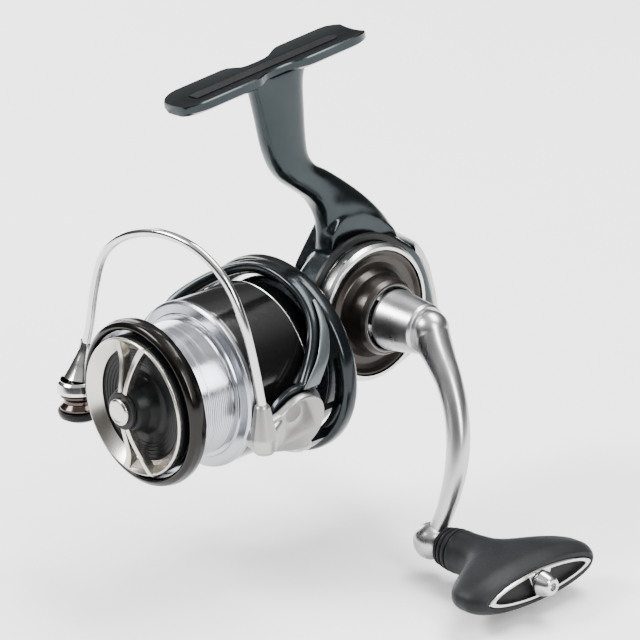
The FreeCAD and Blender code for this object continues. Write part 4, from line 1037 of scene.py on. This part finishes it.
def make_grip():
    sections = [
        (52.13, 5.2, 5.2, 2.0), (52.6, 5.6, 5.6, 2.0), (53.1, 5.65, 5.65, 2.0),
        (53.4, 5.1, 5.1, 2.0), (53.8, 5.1, 5.1, 2.0), (54.1, 5.8, 5.8, 2.0), (55.0, 5.9, 5.9, 2.0),
        (55.3, 5.35, 5.35, 2.0), (55.7, 5.35, 5.35, 2.0), (56.0, 6.0, 5.95, 2.0),
        (58.8, 6.0, 5.9, 2.0), (62.2, 6.5, 6.0, 2.0), (65.4, 8.2, 6.0, 2.0),
        (68.2, 11.8, 6.2, 2.05), (70.8, 16.8, 6.4, 2.1), (73.6, 20.8, 6.5, 2.15),
        (77.0, 22.7, 6.55, 2.2), (80.8, 22.7, 6.5, 2.2), (83.8, 21.2, 5.6, 2.2),
        (85.15, 19.6, 4.9, 2.2)
    ]
    steps = 120
    rings = []
    for step in range(steps + 1):
        at_x, half_y, half_z, power = catmull(sections, step / steps)
        rings.append(oval(min(at_x, 85.18), min(half_y, 22.75), min(half_z, 6.58), power))
    grip = skin("grip", rings, KNOB, RUBBER)
    recess = skin("recess", [oval(84.0, 19.0, 4.2, 1.7), oval(88.0, 19.0, 4.2, 1.7)], KNOB, RUBBER)
    grip = combine(grip, recess, "DIFFERENCE")
    bore = lathe("bore", [
        (44.0, 0.01), (44.0, 4.05), (86.08, 4.05), (86.08, 0.01)
    ], KNOB, RUBBER, "X", 48)
    return combine(grip, bore, "DIFFERENCE")


grip = make_grip()
floor_plate = skin("eye_floor", [oval(83.6, 18.6, 3.9, 1.7), oval(84.05, 18.6, 3.9, 1.7)], KNOB,
                   BLACK_RESIN)
grip = join("knob_grip_moulding", [grip, floor_plate])
piece(grip, "knob", "grip_rubber", "knob_grip")


def make_frame():
    plate = skin("plate", [
        oval(84.12, 18.7, 3.95, 1.7), oval(85.1, 18.7, 3.95, 1.7), oval(85.46, 18.4, 3.65, 1.7)
    ], KNOB, FRAME_CHROME)
    opening = skin("opening", [oval(80.0, 16.5, 3.0, 1.7), oval(90.0, 16.7, 3.15, 1.7)], KNOB,
                   FRAME_CHROME)
    plate = combine(plate, opening, "DIFFERENCE")
    bridge = slab("bridge", [
        (-1.6, -3.4, 0.3), (1.6, -3.4, 0.3), (4.2, 3.2, 0.5), (-4.2, 3.2, 0.5)
    ], 84.15, 85.3, KNOB, FRAME_CHROME, 0.25)
    plate = combine(plate, bridge, "UNION")
    hole = lathe("hole", [
        (80.0, 0.01), (80.0, 1.32), (90.0, 1.32), (90.0, 0.01)
    ], KNOB, FRAME_CHROME, "X", 48)
    return combine(plate, hole, "DIFFERENCE")


bezel = make_frame()
bezel.name = "knob_end_frame"
piece(bezel, "knob", "bright_frame", "knob_frame")
screw = lathe("knob_end_screw", [
    (83.75, 0.01), (83.75, 1.2), (85.56, 1.2), (85.56, 3.45, 0.3), (86.4, 3.4, 0.3),
    (89.2, 2.5, 0.3), (89.75, 2.0, 0.3), (89.75, 1.1, 0.05), (88.4, 1.0, 0.05), (88.4, 0.01)
], KNOB, FRAME_CHROME, "X", 96)
piece(screw, "knob", "bright_frame", "knob_screw")
washer = lathe("knob_seat_washer", [
    (50.72, 2.1), (50.72, 5.3, 0.2), (51.68, 5.3, 0.2), (51.68, 2.1)
], KNOB, BLACK_RESIN, "X", 96)
piece(washer, "knob", "black_plastic", "knob_washer")


# ------------------------------------------------------------------ plain inner nodes
FINISHES = (
    (BEARING, "gear_bearing_right gear_bearing_left front_bearing one_way_clutch knob_bearings "
              "roller_bearing spool_bearings"),
    (BRASS, "rear_bushing rotor_nut pinion_gear spool_collar"),
    (RUBBER, "clutch_seal"),
    (BLACK_RESIN, "clutch_retainer click_ring"),
    (STEEL_Y, "guide_rod clutch_sleeve main_shaft drag_plates drag_clip"),
    (STEEL_X, "crank_wheel_post gear_shaft handle_shaft knob_shaft"),
    (ALLOY, "drive_gear crank_pinion slider_block"),
    (RESIN, "crank_wheel"),
    (SPRING, "bail_spring drag_spring"),
    (BLACK_STEEL, "holder_screw slider_screw"),
    (FIBRE, "drag_washers"),
)
for finish, nodes in FINISHES:
    for node in nodes.split():
        mesh = frame["nodes"][node].data
        mesh.materials.clear()
        mesh.materials.append(finish)
        mesh.shade_smooth()
        mesh.set_sharp_from_angle(angle=math.radians(30))


# ------------------------------------------------------------------ floor, light and camera
MIDDLE = (0, 0, -0.07)
FLOOR_Z = -0.1345


def area_light(name, centre, wide, tall, energy):
    """A rectangular light that faces the middle of the reel."""
    data = bpy.data.lights.new(name, "AREA")
    data.shape = "RECTANGLE"
    data.size = wide
    data.size_y = tall
    data.energy = energy
    obj = bpy.data.objects.new(name, data)
    bpy.context.scene.collection.objects.link(obj)
    obj.location = centre
    obj.rotation_euler = (Vector(MIDDLE) - Vector(centre)).to_track_quat("-Z", "Y").to_euler()


def make_floor():
    steps = 96
    verts = [(0, 0, FLOOR_Z)]
    faces = []
    for ring in (0.4, 1.2, 4.0):
        for step in range(steps):
            angle = 2 * math.pi * step / steps
            verts.append((ring * math.cos(angle), ring * math.sin(angle), FLOOR_Z))
    for step in range(steps):
        after = (step + 1) % steps
        faces.append((0, 1 + step, 1 + after))
        for level in range(2):
            start = 1 + level * steps
            faces.append((start + step, start + steps + step, start + steps + after, start + after))
    mat, shader, coords = material("floor_paper")
    grain = noise(mat, coords, 9.0)
    link(mat, tint(mat, grain, (0.93, 0.93, 0.93), (0.95, 0.95, 0.95)), shader.inputs["Base Color"])
    link(mat, spread(mat, grain, 0.75, 0.85), shader.inputs["Roughness"])
    shader.inputs["Specular IOR Level"].default_value = 0.1
    shader.inputs["Emission Color"].default_value = (1, 1, 1, 1)
    shader.inputs["Emission Strength"].default_value = 0.22
    floor = make_object("floor", verts, faces, Matrix.Identity(4), mat)


make_floor()
area_light("key", (-0.55, -0.75, 0.85), 0.6, 0.4, 25)
area_light("side", (0.95, -0.15, 0.45), 0.2, 0.7, 11)
area_light("top", (0.1, 0.45, 1.1), 1.1, 0.5, 30)
area_light("left", (-0.9, 0.25, 0.25), 0.3, 0.8, 7)

world = bpy.data.worlds.new("studio")
bpy.context.scene.world = world
world.use_nodes = True
tree = world.node_tree
sky = tree.nodes["Background"]
where = tree.nodes.new("ShaderNodeTexCoord")
parts_of = tree.nodes.new("ShaderNodeSeparateXYZ")
ramp = tree.nodes.new("ShaderNodeValToRGB")
tree.links.new(where.outputs["Generated"], parts_of.inputs["Vector"])
tree.links.new(parts_of.outputs["Z"], ramp.inputs["Fac"])
tree.links.new(ramp.outputs["Color"], sky.inputs["Color"])
stops = ramp.color_ramp.elements
stops[0].position = 0.0
stops[0].color = (0.10, 0.10, 0.105, 1)
stops[1].position = 1.0
stops[1].color = (1, 1, 1, 1)
for at, level in ((0.30, 0.12), (0.50, 0.26), (0.72, 0.90)):
    stop = stops.new(at)
    stop.color = (level, level, level, 1)
sky.inputs["Strength"].default_value = 0.9

CAMERA_TURN = 48.28
CAMERA_RISE = 20.63
CAMERA_ROLL = -2.94
CAMERA_AWAY = (23.55, 13.28, 1000.0)
CAMERA_LENS = 213.06
turn, rise, roll = (math.radians(angle) for angle in (CAMERA_TURN, CAMERA_RISE, CAMERA_ROLL))
back = Vector((math.sin(turn) * math.cos(rise), -math.cos(turn) * math.cos(rise), math.sin(rise)))
level_right = Vector((0, 0, 1)).cross(back).normalized()
level_up = back.cross(level_right)
right = level_right * math.cos(roll) + level_up * math.sin(roll)
up = level_up * math.cos(roll) - level_right * math.sin(roll)
eye = bpy.data.objects.new("eye", bpy.data.cameras.new("eye"))
bpy.context.scene.collection.objects.link(eye)
spot = shaft_at + (right * CAMERA_AWAY[0] + up * CAMERA_AWAY[1] + back * CAMERA_AWAY[2]) * MM
axes = Matrix((right, up, back)).transposed().to_4x4()
eye.matrix_world = Matrix.Translation(spot) @ axes
eye.data.sensor_width = 36
eye.data.lens = CAMERA_LENS
eye.data.clip_start = 0.05
eye.data.clip_end = 20
bpy.context.scene.camera = eye
